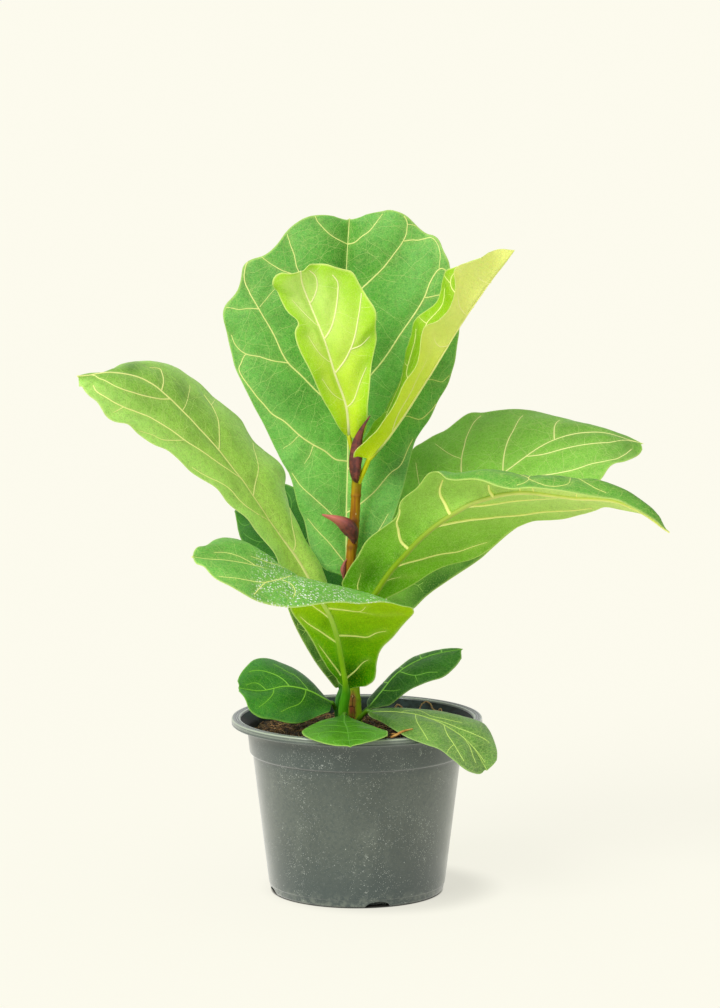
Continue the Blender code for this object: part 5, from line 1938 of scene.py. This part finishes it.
    def blade(self) -> bpy.types.Object:
        """The closed thin blade, with a rounded margin.

        Returns:
            The blade.
        """
        surface = self.surface
        top = surface.points
        under = top - surface.normals * self.THICKNESS
        rows, columns = top.shape[:2]
        rims = []
        for edge, inner in ((0, 1), (-1, -2)):
            out = unit(top[:, edge] - top[:, inner])
            rims.append((top[:, edge] + under[:, edge]) / 2 + out * self.THICKNESS * 0.5)
        points = np.vstack([top.reshape(-1, 3), under.reshape(-1, 3), rims[0], rims[1]])
        number = np.arange(rows * columns).reshape(rows, columns)
        below = number + rows * columns
        rim = [2 * rows * columns + np.arange(rows), 2 * rows * columns + rows + np.arange(rows)]
        faces = self.quads(number) + self.quads(below)
        upper_faces = (rows - 1) * (columns - 1)
        faces = [face if i < upper_faces else face[::-1] for i, face in enumerate(faces)]
        for edge, ring, turn in ((0, rim[0], False), (-1, rim[1], True)):
            for near, far in ((number[:, edge], ring), (ring, below[:, edge])):
                strip = self.quads(np.stack([far, near], 1))
                faces += [face[::-1] for face in strip] if turn else strip
        if surface.upward < 0:
            faces = [face[::-1] for face in faces]
        name = self.form.name
        mesh = bpy.data.meshes.new(f"{name}_blade")
        mesh.from_pydata((points * MM).tolist(), [], faces)
        mesh.materials.append(self.form.finish.skin(name, Face.UPPER))
        mesh.materials.append(self.form.finish.skin(name, Face.UNDER))
        index = np.zeros(len(faces), np.int32)
        index[upper_faces:2 * upper_faces] = 1
        mesh.polygons.foreach_set("material_index", index)
        self.mark(mesh, rows, columns)
        mend(mesh, merge=True)
        mesh.shade_smooth()
        return link(f"{name}_blade", mesh)

    def quads(self, numbers: np.ndarray) -> list[tuple[int, ...]]:
        """Faces between neighbouring rows and columns of point numbers."""
        corners = np.stack([numbers[:-1, :-1], numbers[1:, :-1], numbers[1:, 1:], numbers[:-1, 1:]], -1)
        return [tuple(face) for face in corners.reshape(-1, 4).tolist()]

    def mark(self, mesh: bpy.types.Mesh, rows: int, columns: int) -> None:
        """Stores how far along and out each point is, how near a vein and the margin, and its painted shade.

        Args:
            mesh: The blade's mesh.
            rows: How many rows its grid has.
            columns: How many columns.
        """
        surface = self.surface
        along = np.repeat(surface.share[:, None], columns, axis=1)
        halo = np.exp(-(surface.nearness / self.HALO) ** 2)
        out = surface.out[np.abs(np.arange(columns) - surface.middle)]
        width = np.where(np.arange(columns)[None] < surface.middle, surface.width[0][:, None],
                         surface.width[1][:, None])
        margin = np.clip(1 - (1 - out)[None] * width / self.MARGIN_WIDTH, 0, 1)
        rim = np.ones(rows)
        outward = np.tile(out, rows)
        hold(mesh, "out", np.concatenate([outward, outward, rim, rim]))
        shown = surface.view.project(surface.base).reshape(-1, 2)
        # Painted shade: strongest at each spot's pixel, fading over its radius.
        deep = np.zeros(len(shown))
        for x, y, radius, strength in self.form.shades:
            deep = np.maximum(deep, strength * np.exp(-((shown - (x, y)) ** 2).sum(axis=1) / radius ** 2))
        hold(mesh, "deep", np.concatenate([deep, deep, 0 * rim, 0 * rim]))
        hold(mesh, "along", np.concatenate([along.ravel(), along.ravel(), surface.share, surface.share]))
        hold(mesh, "halo", np.concatenate([halo.ravel(), halo.ravel(), 0 * rim, 0 * rim]))
        hold(mesh, "margin", np.concatenate([margin.ravel(), margin.ravel(), rim, rim]))


@dataclass(frozen=True)
class Pot:
    """The moulded nursery pot."""

    rim_outer: float = 82.5
    rim_inner: float = 76.9
    height: float = 115.4
    lip_drop: float = 4.4
    ledge: float = 92.4
    base: float = 57.2
    wall_top: float = 68.2
    wall_top_height: float = 88.0
    floor: float = 2.5
    wall: float = 1.5
    slot_depth: float = 12.0
    slot_width: float = 17.0
    slot_height: float = 3.9
    slot_angles: tuple[float, ...] = (-76, 14, 104, -166)
    sides: int = 144

    def profile(self) -> list[tuple[float, float, float]]:
        """Radius, height and rounding of each corner: inside, lip, then outside to the base.

        Returns:
            The corners in order.
        """
        foot = self.height - self.lip_drop
        top = self.height
        inner = self.rim_inner
        outer = self.rim_outer
        inside = [
            (0, self.floor, 0), (54.0, self.floor, 2.5),
            (self.wall_top - self.wall, self.wall_top_height, 1.5), (69.0, self.ledge + 1.0, 1.2),
            (71.2, foot - 2.5, 1.2), (74.2, foot + 1.0, 1.2),
            (inner - 0.5, top - 1.6, 0.8), (inner, top - 0.4, 0.4)]
        lip = [
            (inner + 0.6, top - 0.1, 0.3), (inner + 1.3, top - 0.1, 0.2), (inner + 1.7, top - 0.55, 0.2),
            (inner + 2.1, top - 0.1, 0.2), (inner + 2.9, top, 0.3), (inner + 3.3, top - 0.45, 0.2),
            (inner + 3.7, top, 0.2), (outer - 0.5, top, 0.5), (outer, top - 1.0, 0.7),
            (outer, top - 1.7, 0.1), (outer - 0.25, top - 1.85, 0.1), (outer - 0.25, top - 2.1, 0.1),
            (outer, top - 2.25, 0.1), (outer, top - 2.9, 0.1), (outer - 0.25, top - 3.05, 0.1),
            (outer - 0.25, top - 3.3, 0.1), (outer, top - 3.45, 0.1), (outer, foot + 0.4, 0.4),
            (outer - 0.5, foot, 0.4), (outer - 1.4, foot, 0.3), (outer - 1.6, foot + 1.9, 0.6),
            (outer - 5.5, foot + 1.5, 1.0)]
        wall = [
            (73.0, foot - 2.0, 1.6), (72.0, foot - 5.0, 1.6), (70.7, self.ledge + 0.7, 0.4),
            (70.2, self.ledge - 0.1, 0.4), (68.9, self.ledge - 0.6, 0.4), (68.5, self.ledge - 1.8, 0.5),
            (self.wall_top, self.wall_top_height, 1.2), (58.3, 6.2, 0.8), (self.base + 0.95, 5.2, 0.3),
            (self.base + 0.5, 4.9, 0.3), (self.base, 1.3, 0.8), (self.base - 1.2, 0, 0.6), (0, 0, 0)]
        return inside + lip + wall

    def rounded(self) -> np.ndarray:
        """The profile with each corner rounded by a few points.

        Returns:
            Radius and height of each point.
        """
        corners = self.profile()
        points = [corners[0][:2]]
        for before, corner, after in zip(corners, corners[1:], corners[2:]):
            here = np.array(corner[:2])
            back, on = np.array(before[:2]) - here, np.array(after[:2]) - here
            radius = min(corner[2], np.linalg.norm(back) * 0.45, np.linalg.norm(on) * 0.45)
            first, last = here + unit(back) * radius, here + unit(on) * radius
            for t in (0.0, 0.33, 0.67, 1.0):
                points.append(tuple((1 - t) ** 2 * first + 2 * t * (1 - t) * here + t * t * last))
        return np.array(points + [corners[-1][:2]])

    def build(self) -> bpy.types.Object:
        """Turns the profile, cuts the drain slots and dresses the pot.

        Returns:
            The pot.
        """
        profile = self.rounded()
        mesh = bpy.data.meshes.new("pot_shell")
        edges = [(i, i + 1) for i in range(len(profile) - 1)]
        mesh.from_pydata([(r * MM, 0.0, z * MM) for r, z in profile], edges, [])
        pot = link("pot_shell", mesh)
        screw = pot.modifiers.new("turn", "SCREW")
        screw.axis = "Z"
        screw.steps = screw.render_steps = self.sides
        screw.use_merge_vertices = True
        screw.merge_threshold = 0.01 * MM
        plain_mesh(pot)
        mend(pot.data, merge=True, turn=True)
        for angle in self.slot_angles:
            self.cut_slot(pot, math.radians(angle))
        pot.data.materials.clear()
        pot.data.materials.append(PotFinish().material())
        pot.data.materials.append(PotFinish().lining())
        pot.data.shade_smooth()
        pot.data.set_sharp_from_angle(angle=math.radians(38))
        self.mark(pot.data)
        return settle(pot, "pot_plastic", "pot")

    def mark(self, mesh: bpy.types.Mesh) -> None:
        """Shades the inner wall, and stores the ledge's painted shade and the lip's painted highlight and
        wear.

        Args:
            mesh: The pot's mesh.
        """
        points = points_of(mesh)
        normals = np.array([vertex.normal for vertex in mesh.vertices])
        reach = np.linalg.norm(points[:, :2], axis=1)
        inward = -(normals[:, :2] * points[:, :2]).sum(axis=1) / np.maximum(reach, 1e-6)
        # The inner wall's faces get the lining: the plastic painted dark as shade.
        hidden = (inward > 0.2) & (reach < self.rim_inner - 0.3) & (points[:, 2] > 6)
        for face in mesh.polygons:
            face.material_index = int(all(hidden[number] for number in face.vertices))
        # Painted shade under the ledge's step.
        below = points[:, 2] - self.ledge
        hold(mesh, "groove", 0.7 * np.exp(-((below + 0.5) / 0.45) ** 2) * (reach > self.wall_top))
        # Painted highlight and wear along the lip's inner edge, outer edge and bead.
        drop = self.height - points[:, 2]
        inner = np.exp(-((reach - self.rim_inner - 0.4) / 0.6) ** 2 - (drop / 0.8) ** 2)
        outer = np.exp(-((reach - self.rim_outer + 0.3) / 0.5) ** 2 - ((drop - 0.3) / 0.6) ** 2)
        bead = 0.45 * np.exp(-((reach - self.rim_outer) / 0.5) ** 2 - ((drop - 2.1) / 0.35) ** 2)
        lip = 0.08 * (reach > self.rim_inner) * (drop < self.lip_drop + 0.5)
        hold(mesh, "lip", inner + outer + bead + lip)

    def cut_slot(self, pot: bpy.types.Object, angle: float) -> None:
        """Cuts one arched drain slot through the bottom edge.

        Args:
            pot: The pot.
            angle: Where the slot is, in radians round the pot.
        """
        edit = bmesh.new()
        bmesh.ops.create_cone(edit, cap_ends=True, segments=28, radius1=0.5, radius2=0.5, depth=1.0)
        middle = Vector((math.cos(angle), math.sin(angle), 0)) * (self.base - 2) * MM
        size = Matrix.Diagonal((self.slot_depth * MM, self.slot_width * MM, 2 * self.slot_height * MM, 1))
        shape = (Matrix.Translation(middle) @ Matrix.Rotation(angle, 4, "Z") @ size
                 @ Matrix.Rotation(math.pi / 2, 4, "Y"))
        bmesh.ops.transform(edit, matrix=shape, verts=edit.verts)
        mesh = bpy.data.meshes.new("slot_cutter")
        edit.to_mesh(mesh)
        edit.free()
        cutter = link("slot_cutter", mesh)
        cut = pot.modifiers.new("slot", "BOOLEAN")
        cut.operation = "DIFFERENCE"
        cut.object = cutter
        cut.solver = "EXACT"
        plain_mesh(pot)
        bpy.data.objects.remove(cutter)


@dataclass(frozen=True)
class Soil:
    """The root ball's crumbly top, with its crumbs and fibres, and the dry twig fallen on the rim."""

    edge_height: float = 104.5
    crown: float = 4.0
    lump: float = 1.3
    stem_x: float = -1.3
    stem_foot: float = 62.0
    stem_hole: float = 5.0
    edge: float = 70.4
    floor: float = 2.8
    crumbs_from: float = 6.0
    crumbs_to: float = 69.0
    fibres_to: float = 61.0
    rings: int = 54
    sides: int = 120
    twig: tuple[RodPoint, ...] = (
        (21.6, -75.0, 115.95, 0.8, 0), (24.8, -74.2, 117.3, 0.85, 0.25), (28.8, -72.8, 119.25, 0.75, 0.5),
        (32, -71.3, 120.0, 0.6, 0.75), (35.8, -69.4, 120.45, 0.35, 1))
    twig_side: tuple[RodPoint, ...] = (
        (25.2, -74.0, 117.5, 0.5, 0.3), (23.8, -72.4, 117.9, 0.45, 0.7), (22.0, -71.6, 117.5, 0.25, 1))

    def height(self, x: float, y: float) -> float:
        """Height of the soil's lumpy top at a place in the pot.

        Args:
            x: To the right of the middle.
            y: Behind it.

        Returns:
            The height in millimetres.
        """
        radius = math.hypot(x, y)
        crown = self.crown * max(0.0, 1 - (radius / 66) ** 2)
        lumps = (math.sin(x * 0.19 + 1.1) * math.sin(y * 0.23 + 0.4) + 0.6 * math.sin(x * 0.41 - y * 0.33)
                 + 0.4 * math.sin(0.62 * x + 0.5 * y + 2.0))
        calm = min(1.0, max(0.0, (radius - 5) / 12))
        return self.edge_height + crown + self.lump * 0.6 * lumps * calm

    def ground(self) -> bpy.types.Mesh:
        """The closed soil body, with its fine lumps.

        Returns:
            The mesh, with its marks for crumbs and fibres.
        """
        outer = [(self.edge, self.edge_height - 3.0), (68.9, 92.0), (66.2, 87.4), (53.7, self.floor)]
        points = [(self.stem_x, 0.0, self.stem_foot)]
        hole = self.stem_hole
        for a in self.angles():
            points.append((self.stem_x + hole * math.cos(a), hole * math.sin(a), self.stem_foot))
        marks = [0.0] * len(points)
        for r in np.linspace(self.stem_hole, self.edge, self.rings):
            for a in self.angles():
                x = r * math.cos(a) + self.stem_x * max(0.0, 1 - (r - self.stem_hole) / 8)
                y = r * math.sin(a)
                calm = min(1.0, (r - self.stem_hole) / 4, (self.edge - r) / 3 + 0.3)
                place = Vector((x, y, 0.0))
                z = self.height(x, y) + calm * (1.5 * noise.noise(place / 5) + 0.9 * noise.noise(place / 2.1)
                                                + 0.5 * noise.noise(place / 0.9))
                points.append((x, y, z))
                marks.append(1.0 if self.crumbs_from < r < self.crumbs_to else 0.0)
        for r, z in outer:
            points += [(r * math.cos(a), r * math.sin(a), z) for a in self.angles()]
            marks += [0.0] * self.sides
        points.append((0.0, 0.0, self.floor))
        marks.append(0.0)
        faces = faces_round(1 + self.rings + len(outer), self.sides)
        mesh = bpy.data.meshes.new("soil_ball")
        mesh.from_pydata([tuple(value * MM for value in point) for point in points], [], faces)
        mend(mesh, turn=True)
        hold(mesh, "ground", np.array(marks))
        reach = np.array([math.hypot(x, y) for x, y, _ in points])
        hold(mesh, "fibres", np.array(marks) * (reach > self.crumbs_from) * (reach < self.fibres_to))
        mesh.shade_smooth()
        return mesh

    def angles(self) -> np.ndarray:
        """The directions of the points on each ring."""
        return np.linspace(0, 2 * math.pi, self.sides, endpoint=False)

    def build(self, rods: RodWork) -> None:
        """Builds the soil, its crumbs and fibres, and the twig that leans from the rim onto a leaf.

        Args:
            rods: What makes the twig's rods.
        """
        ground = self.ground()
        soil = link("soil_top", ground)
        ground.materials.append(EARTH.material())
        settle(soil, "soil", "potting_soil")
        crumbs = CrumbWork()
        skin = CRUMB.material()
        coarse = crumbs.run("soil_lumps", ground.copy(), {
            "Density": 45000.0, "Smallest": 0.0009, "Largest": 0.0022, "Fineness": 2, "Seed": 4,
            "Finish": skin})
        settle(coarse, "soil")
        fine = crumbs.run("soil_crumbs", ground.copy(), {
            "Density": 210000.0, "Smallest": 0.0004, "Largest": 0.001, "Fineness": 1, "Seed": 9,
            "Finish": skin})
        settle(fine, "soil")
        strands = FibreWork().run("soil_fibres", ground.copy(), {
            "Density": 34000.0, "Shortest": 0.005, "Longest": 0.013, "Seed": 2, "Finish": STRAW.material()})
        settle(strands, "root_skin")
        paths = [curve_through(self.twig, 5), curve_through(self.twig_side, 4)]
        settle(rods.rods("dry_twig", paths, 8, TWIG.material()), "root_skin")


@dataclass(frozen=True)
class SurfaceRoots:
    """Thin tan roots that loop out of the soil and thread over it."""

    loop: tuple[Point, ...] = (
        (22, 10, 106.5), (24.5, 14, 116), (26.5, 17, 120), (29.5, 21, 117.5), (32, 24, 112),
        (36, 27, 110), (40.5, 30, 112), (43, 31, 117.4), (46, 31, 119.5), (48.8, 31, 118),
        (50.6, 31, 114.5), (53.9, 30, 113.4), (55.7, 29, 115.2), (56.6, 28, 111.6), (57, 27, 106))
    radius: float = 0.58
    threads: int = 26
    across: tuple[float, float] = (18.0, 58.0)
    behind: tuple[float, float] = (6.0, 36.0)
    rises: tuple[float, ...] = (0.4, 3.2, 4.6, 2.8, 0.2)
    stride: tuple[float, float] = (3.0, 6.5)
    girths: tuple[float, float] = (0.2, 0.4)
    spread: float = 64.0
    seed: int = 17

    def build(self, soil: Soil, rods: RodWork) -> bpy.types.Object:
        """Builds the main loop and the threads round it.

        Args:
            soil: The soil that they lie on.
            rods: What makes their rods.

        Returns:
            The roots.
        """
        draw = np.random.RandomState(self.seed)
        loop = np.array(self.loop, float)
        loop[0, 2] = soil.height(loop[0, 0], loop[0, 1]) - 0.6
        loop[-1, 2] = soil.height(loop[-1, 0], loop[-1, 1]) - 0.6
        line = curve_through(loop, 9)
        line[1:-1] += draw.normal(0, 0.08, (len(line) - 2, 3))
        share = np.linspace(0, 1, len(line))
        paths = [np.column_stack([line, self.radius * (1.05 - 0.35 * share), share])]
        for _ in range(self.threads):
            x, y = draw.uniform(*self.across), draw.uniform(*self.behind)
            turn = draw.uniform(0, 2 * math.pi)
            knots = []
            for rise in self.rises:
                knots.append((x, y, soil.height(x, y) + rise * draw.uniform(0.5, 1.2)))
                turn += draw.uniform(-0.9, 0.9)
                reach = draw.uniform(*self.stride)
                if math.hypot(x + reach * math.cos(turn), y + reach * math.sin(turn)) > self.spread:
                    turn += math.pi
                x, y = x + reach * math.cos(turn), y + reach * math.sin(turn)
            thread = curve_through(knots, 6)
            size = draw.uniform(*self.girths)
            share = np.linspace(0, 1, len(thread))
            paths.append(np.column_stack([thread, size * (1 - 0.5 * share), share]))
        return settle(rods.rods("root_threads", paths, 7, THREAD.material()), "root_skin", "surface_roots")


@dataclass(frozen=True)
class Stem:
    """The upright stem with its leaf scars and the rings below them."""

    line: tuple[Ring, ...] = (
        (-1.8, 0, 63.0, 4.0), (-1.1, 0, 106, 4.8), (-1.6, 0, 120, 4.6), (-3.3, 0, 150, 3.8),
        (-5.0, 0, 181, 3.4), (-5.2, 0, 200, 3.7), (-4.5, 0, 216, 3.3), (-2.2, 0, 238, 3.5),
        (-0.9, 0, 258, 3.1), (-0.2, 0, 270, 3.3), (0.2, 0, 283, 2.6))
    scars: tuple[tuple[float, float], ...] = (
        (127, 0.3), (141, 2.9), (158, 4.6), (190, 3.4), (207, 1.2), (228, 4.4), (246, -1.4), (262, 1.9),
        (273, 4.2))
    bark_patches: tuple[tuple[float, float], ...] = ((121, -1.95), (128, -1.85), (113, -2.05), (107, -1.6))

    def build(self, rods: RodWork) -> bpy.types.Object:
        """Sweeps the stem, then shapes its rings, scars and bark.

        Args:
            rods: What makes its rod.

        Returns:
            The stem.
        """
        line = curve_through(self.line, 16)
        share = np.linspace(0, 1, len(line))
        stem = rods.rods("stem_bark", [np.column_stack([line, share])], 40, BarkFinish().material())
        points = points_of(stem.data)
        core = np.stack([np.interp(points[:, 2], line[:, 2], line[:, k]) for k in (0, 1)], -1)
        out = points[:, :2] - core
        turn = np.arctan2(out[:, 1], out[:, 0])
        z = points[:, 2]
        push = 0.16 * rough(points * [1, 1, 0.25], 1.6) + 0.1 * rough(points, 3.0)
        scarred = np.zeros(len(points))
        for height, angle in self.scars:
            gap = np.abs((turn - angle + math.pi) % (2 * math.pi) - math.pi)
            ring = np.exp(-((z - height) / 0.8) ** 2)
            push += 0.32 * ring
            spot = np.exp(-((z - height) / 1.6) ** 2 - (gap / 0.7) ** 2)
            push += 0.35 * spot - 0.5 * np.exp(-((z - height) / 0.8) ** 2 - (gap / 0.35) ** 2)
            scarred = np.maximum(scarred, np.maximum(spot, 0.45 * ring))
        old = np.clip((112 - z) / 6, 0, 1) * 0.8
        for height, angle in self.bark_patches:
            gap = np.abs((turn - angle + math.pi) % (2 * math.pi) - math.pi)
            old = np.maximum(old, np.exp(-((z - height) / 5.0) ** 4 - (gap / 0.6) ** 4))
        push += 0.35 * old * rough(points, 1.3)
        radial = unit(np.column_stack([out, np.zeros(len(out))]))
        move_points(stem.data, points + radial * push[:, None])
        green = np.clip((200 - z) / 25, 0, 1) * 0.6 + np.clip((z - 262) / 14, 0, 1) * 0.5
        green = np.maximum(green, np.clip((150 - z) / 15, 0, 1))
        hold(stem.data, "old", np.clip(old, 0, 1))
        hold(stem.data, "green", np.clip(green, 0, 1))
        hold(stem.data, "scar", np.clip(scarred, 0, 1) * 0.7)
        return settle(stem, "bark", "stem")


@dataclass(frozen=True)
class Sheath:
    """One papery stipule round a bud, creased and drawn out to a point."""

    name: str
    line: tuple[Ring, ...]
    fresh_from: float = 2.0
    freshness: float = 0.85
    flatness: float = 0.8
    sides: int = 26

    def build(self, finish: bpy.types.Material) -> bpy.types.Object:
        """Lofts the sheath round its centre line.

        Args:
            finish: The papery material.

        Returns:
            The sheath.
        """
        line = curve_through(self.line, 9)
        centre, radius = line[:, :3], line[:, 3]
        ahead = unit(np.gradient(centre, axis=0))
        side = unit(np.cross(ahead, (0.0, 1.0, 0.15)))
        up = np.cross(side, ahead)
        share = np.linspace(0, 1, len(line))
        angles = np.linspace(0, 2 * math.pi, self.sides, endpoint=False)
        phase = seed_of(self.name)
        rings = []
        for k, s in enumerate(share):
            turned = angles + 0.5 * s
            crease = 1 + 0.13 * np.sin(3 * turned + phase) + 0.07 * np.sin(7 * turned + 2 * s + phase)
            overlap = 0.12 * ((turned % (2 * math.pi)) / (2 * math.pi) - 0.5)
            r = radius[k] * (crease + overlap) * (1 - 0.1 * math.cos(6 * s))
            aside = (np.cos(turned) * r)[:, None]
            above = (np.sin(turned) * r * self.flatness)[:, None]
            rings.append(centre[k] + side[k] * aside + up[k] * above)
        points = np.vstack([line[:1, :3]] + rings + [line[-1:, :3]])
        mesh = bpy.data.meshes.new(f"{self.name}_sheath")
        mesh.from_pydata((points * MM).tolist(), [], faces_round(len(rings), self.sides))
        mend(mesh, turn=True)
        along = np.concatenate([[0], np.repeat(share, self.sides), [1]])
        hold(mesh, "fresh", np.clip((along - self.fresh_from) * 4, 0, 1) * self.freshness)
        mesh.materials.append(finish)
        mesh.shade_smooth()
        return settle(link(f"{self.name}_sheath", mesh), "stipule_skin", self.name)


SHEATHS = (
    Sheath(
        "stipule_top",
        ((-0.2, -2.4, 271, 1.2), (-0.8, -5.2, 275, 2.6), (-0.8, -6.3, 281, 3.3), (0.0, -7.0, 290, 3.6),
         (1.0, -8.4, 299, 2.7), (3.9, -12.0, 308, 1.3), (8.5, -15.0, 316, 0.4))),
    Sheath(
        "stipule_middle",
        ((-2.2, -2.4, 231, 1.4), (-1.9, -5.4, 234.5, 2.8), (-3.0, -7.0, 239, 4.0), (-6.5, -7.9, 243.5, 4.2),
         (-12.0, -8.6, 247, 2.9), (-22.7, -9.0, 250.7, 0.5)),
        fresh_from=0.62),
    Sheath(
        "stipule_low",
        ((-6.4, -1.6, 220.5, 0.5), (-8.2, -2.5, 217.5, 0.9), (-9.1, -2.9, 213, 1.6), (-8.6, -2.5, 207, 0.5)),
        fresh_from=-1.0, freshness=0.42),
)


@dataclass(frozen=True)
class Studio:
    """A plain pale floor under an even, soft light.

    The floor glows a little, but not under the pot and less to the right of it, so that
    only a faint shadow shows there, as in the photograph. Each lamp has its name, strength,
    width and turn in degrees.
    """

    floor_colour: Colour = (251, 249, 236)
    floor_radius: float = 220.0
    floor_drop: float = 0.0003
    floor_answer: float = 0.16
    floor_glow: float = 0.855
    pot_foot: float = 0.0565
    shadow_place: Point = (0.017, 0.004, 0.0)
    shadow_reach: tuple[float, float] = (0.054, 0.086)
    dome: float = 0.62
    lamps: tuple[tuple, ...] = (("soft_sun", 2.0, 36.0, (53.0, 0.0, -40.0)),)

    def build(self) -> None:
        """Builds the floor, the dome and the lamps."""
        edit = bmesh.new()
        bmesh.ops.create_circle(edit, cap_ends=True, segments=96, radius=self.floor_radius)
        mesh = bpy.data.meshes.new("studio_floor")
        edit.to_mesh(mesh)
        edit.free()
        mesh.transform(Matrix.Translation((0, 0, -self.floor_drop)))
        paint = Paint("studio_floor")
        paint.fix(Roughness=1.0, Specular_IOR_Level=0.0)
        pale = linear(self.floor_colour)
        answer = [value * self.floor_answer for value in pale[:3]]
        paint.shader.inputs["Base Color"].default_value = (*answer, 1.0)
        paint.shader.inputs["Emission Color"].default_value = pale
        place = paint.place()
        reach = paint.node("ShaderNodeVectorMath", {"operation": "LENGTH"}, {0: place})
        aside = paint.node("ShaderNodeVectorMath", {"operation": "DISTANCE"},
                           {0: place, 1: self.shadow_place})
        # Painted shadow: the floor's glow is dimmed to the right of the pot and cut out under its foot, which
        # leaves a dark contact line.
        dim = paint.span(aside.outputs["Value"], *self.shadow_reach, self.floor_glow * 0.8, self.floor_glow)
        clear = paint.span(reach.outputs["Value"], self.pot_foot - 0.001, self.pot_foot + 0.001)
        paint.feed(paint.shader.inputs["Emission Strength"], paint.times(dim, clear))
        mesh.materials.append(paint.material)
        link("studio_floor", mesh)
        self.sky()
        for name, strength, width, turn in self.lamps:
            lamp = bpy.data.lights.new(name, "SUN")
            lamp.energy = strength
            lamp.angle = math.radians(width)
            sun = bpy.data.objects.new(name, lamp)
            sun.rotation_euler = Euler([math.radians(angle) for angle in turn])
            bpy.context.scene.collection.objects.link(sun)
        bpy.context.scene.view_settings.view_transform = "Standard"

    def sky(self) -> None:
        """An even white dome, which the camera sees in the floor's colour."""
        world = bpy.data.worlds.new("studio_dome")
        world.use_nodes = True
        bpy.context.scene.world = world
        tree = world.node_tree
        light = tree.nodes["Background"]
        light.inputs["Color"].default_value = (1.0, 1.0, 1.0, 1.0)
        light.inputs["Strength"].default_value = self.dome
        shown = tree.nodes.new("ShaderNodeBackground")
        shown.inputs["Color"].default_value = linear(self.floor_colour)
        choice = tree.nodes.new("ShaderNodeMixShader")
        ray = tree.nodes.new("ShaderNodeLightPath")
        tree.links.new(ray.outputs["Is Camera Ray"], choice.inputs[0])
        tree.links.new(light.outputs[0], choice.inputs[1])
        tree.links.new(shown.outputs[0], choice.inputs[2])
        tree.links.new(choice.outputs[0], tree.nodes["World Output"].inputs["Surface"])


def main() -> None:
    """Builds the studio and every piece of the plant and its pot."""
    logging.basicConfig(level=logging.INFO, format="%(message)s")
    view = Viewpoint()
    view.build()
    Studio().build()
    rods = RodWork()
    Pot().build()
    soil = Soil()
    soil.build(rods)
    SurfaceRoots().build(soil, rods)
    Stem().build(rods)
    paper = SheathFinish().material()
    for sheath in SHEATHS:
        sheath.build(paper)
    for form in LEAVES:
        Leaf(form, view, rods).build()


if __name__ == "__main__":
    main()
